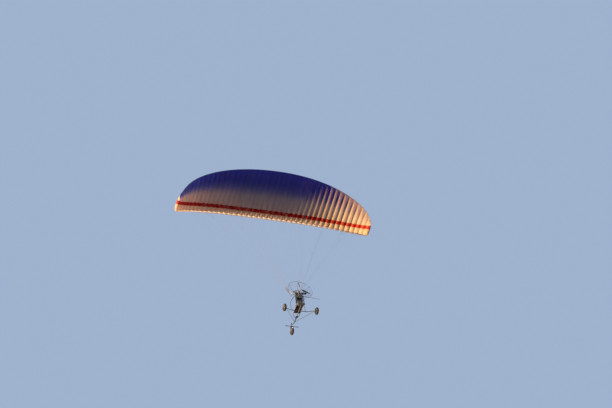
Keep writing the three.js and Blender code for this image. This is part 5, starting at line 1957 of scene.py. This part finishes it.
def handlePoint(side, x, y, z):
    c, d = math.cos(handle["turn"]), math.sin(handle["turn"])
    y -= handle["clear"]
    return riserPoint(side, x, handle["edge"] + y * c - z * d, handle["lift"] + y * d + z * c)


def makeHandle(side, name, hides):
    b, place = Bits(), partial(handlePoint, side)
    line = [place(0, math.copysign(abs(c) ** 0.6, c) * 4.75,
                  math.copysign(abs(d) ** 0.8, d) * 49.5) for c, d in circle(40)]
    b.ribbon(line, handle["width"], handle["thick"], place(*right) - place(0, 0, 0), loop=True)
    b.slot = 1
    b.tube([place(0, -4.6, -30), place(0, -4.9, 0), place(0, -4.6, 30)], [3.0, 3.4, 3.0], 12)
    for z in (-36, 36):
        b.tube([place(-9.2, -4.75, z), place(9.2, -4.75, z)], 0.6, 5)
    b.slot = 2
    b.tube([place(0, 0, 48), place(0, 0, 51), place(0, 0, 57)], [3.2, 3.6, 2.0], 12)
    build(name, b, "wing", "webRed piping brakeLine", hides)


bothHands(makeHandle, "brakeHandle", "brake_handle")

mainLine = {
    "radius": 1.5, "cover": ((0.3, 0.9), (1.4, 1), (8.6, 1), (9.7, 0.9)), "knot": (
        (0, -16, 1.6), (0, -6, 4.4), (1, 2, 6.2), (-1, 8, 5.2), (0, 15, 2.4)),
    "block": ((-18, -3), (-16, -5), (16, -5), (18, -3), (18, 3), (16, 5), (-16, 5), (-18, 3)),
}


def makeMainLines(side, name, hides):
    b, m = Bits(), mainLine

    def skin(rib, u):
        return (skinPoint(side * ribAt(rib), "low", u, rig["clear"]) + air) * 1000

    def knotAt(x, z):
        return hung(side, rig["brakeKnot"], x, 0, z)

    for row, (u, reach) in rig["rows"].items():
        b.slot = 2
        b.rings([[riserPoint(side, x * grow, reach + y * grow, 500.3 + z) for x, y in m["block"]]
                 for z, grow in m["cover"]])
        for x, rib in zip(rig["starts"], rig["ribs"]):
            start, end = riserPoint(side, x, reach, rig["linkTop"]), skin(rib, u)
            way = (end - start).normalized()
            b.slot = 0
            b.tube([start.lerp(end, k / 6) for k in range(7)], m["radius"], 7)
            b.slot = 3 if row == "a" else 0
            b.tube([start - way, start + way * 55, start + way * 62], [2.3, 2.2, 1.6], 8)
            b.slot = 0
            b.tube([end - way * back for back in (60, 55, 3, 1)], [1.6, 2.1, 2.1, 1.4], 8)
    b.slot = 1
    b.tube([knotAt(x, z) for x, z, _ in m["knot"]], [radius for _, _, radius in m["knot"]], 12)
    for x, rib in zip(rig["starts"], rig["brakeRibs"]):
        start, end = knotAt(x * 0.2, 8), skin(rib, 1)
        b.tube([start, knotAt(x * 0.7, 30).lerp(start.lerp(end, 0.01), 0.5), end], m["radius"], 7)
    low = handlePoint(side, 0, 0, handle["half"] + 0.5)
    b.tube([knotAt(0, -12).lerp(low, k / 6) for k in range(7)], m["radius"], 7)
    build(name, b, "wing", "line brakeLine plastic webRed", hides)


bothHands(makeMainLines, "mainLines", "lines_a", "lines_b", "lines_c", "brake_lines")
print("risers, carabiners, handles and lines made")


def declareCloth():
    for skin, stations, holders, pieces in (
            (upperSkin, canopy["upper"], ["canopyRibs"], [upperSeams, tapePiece]),
            (lowerSkin, canopy["lower"], ["mainLinesRight", "mainLinesLeft"],
             [lowerSeams, ribPiece])):
        line = [skinPoint(0, side, u) for side, u in stations]
        length = round(sum((b - a).length for a, b in zip(line, line[1:])), 2)
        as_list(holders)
        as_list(pieces)


declareCloth()
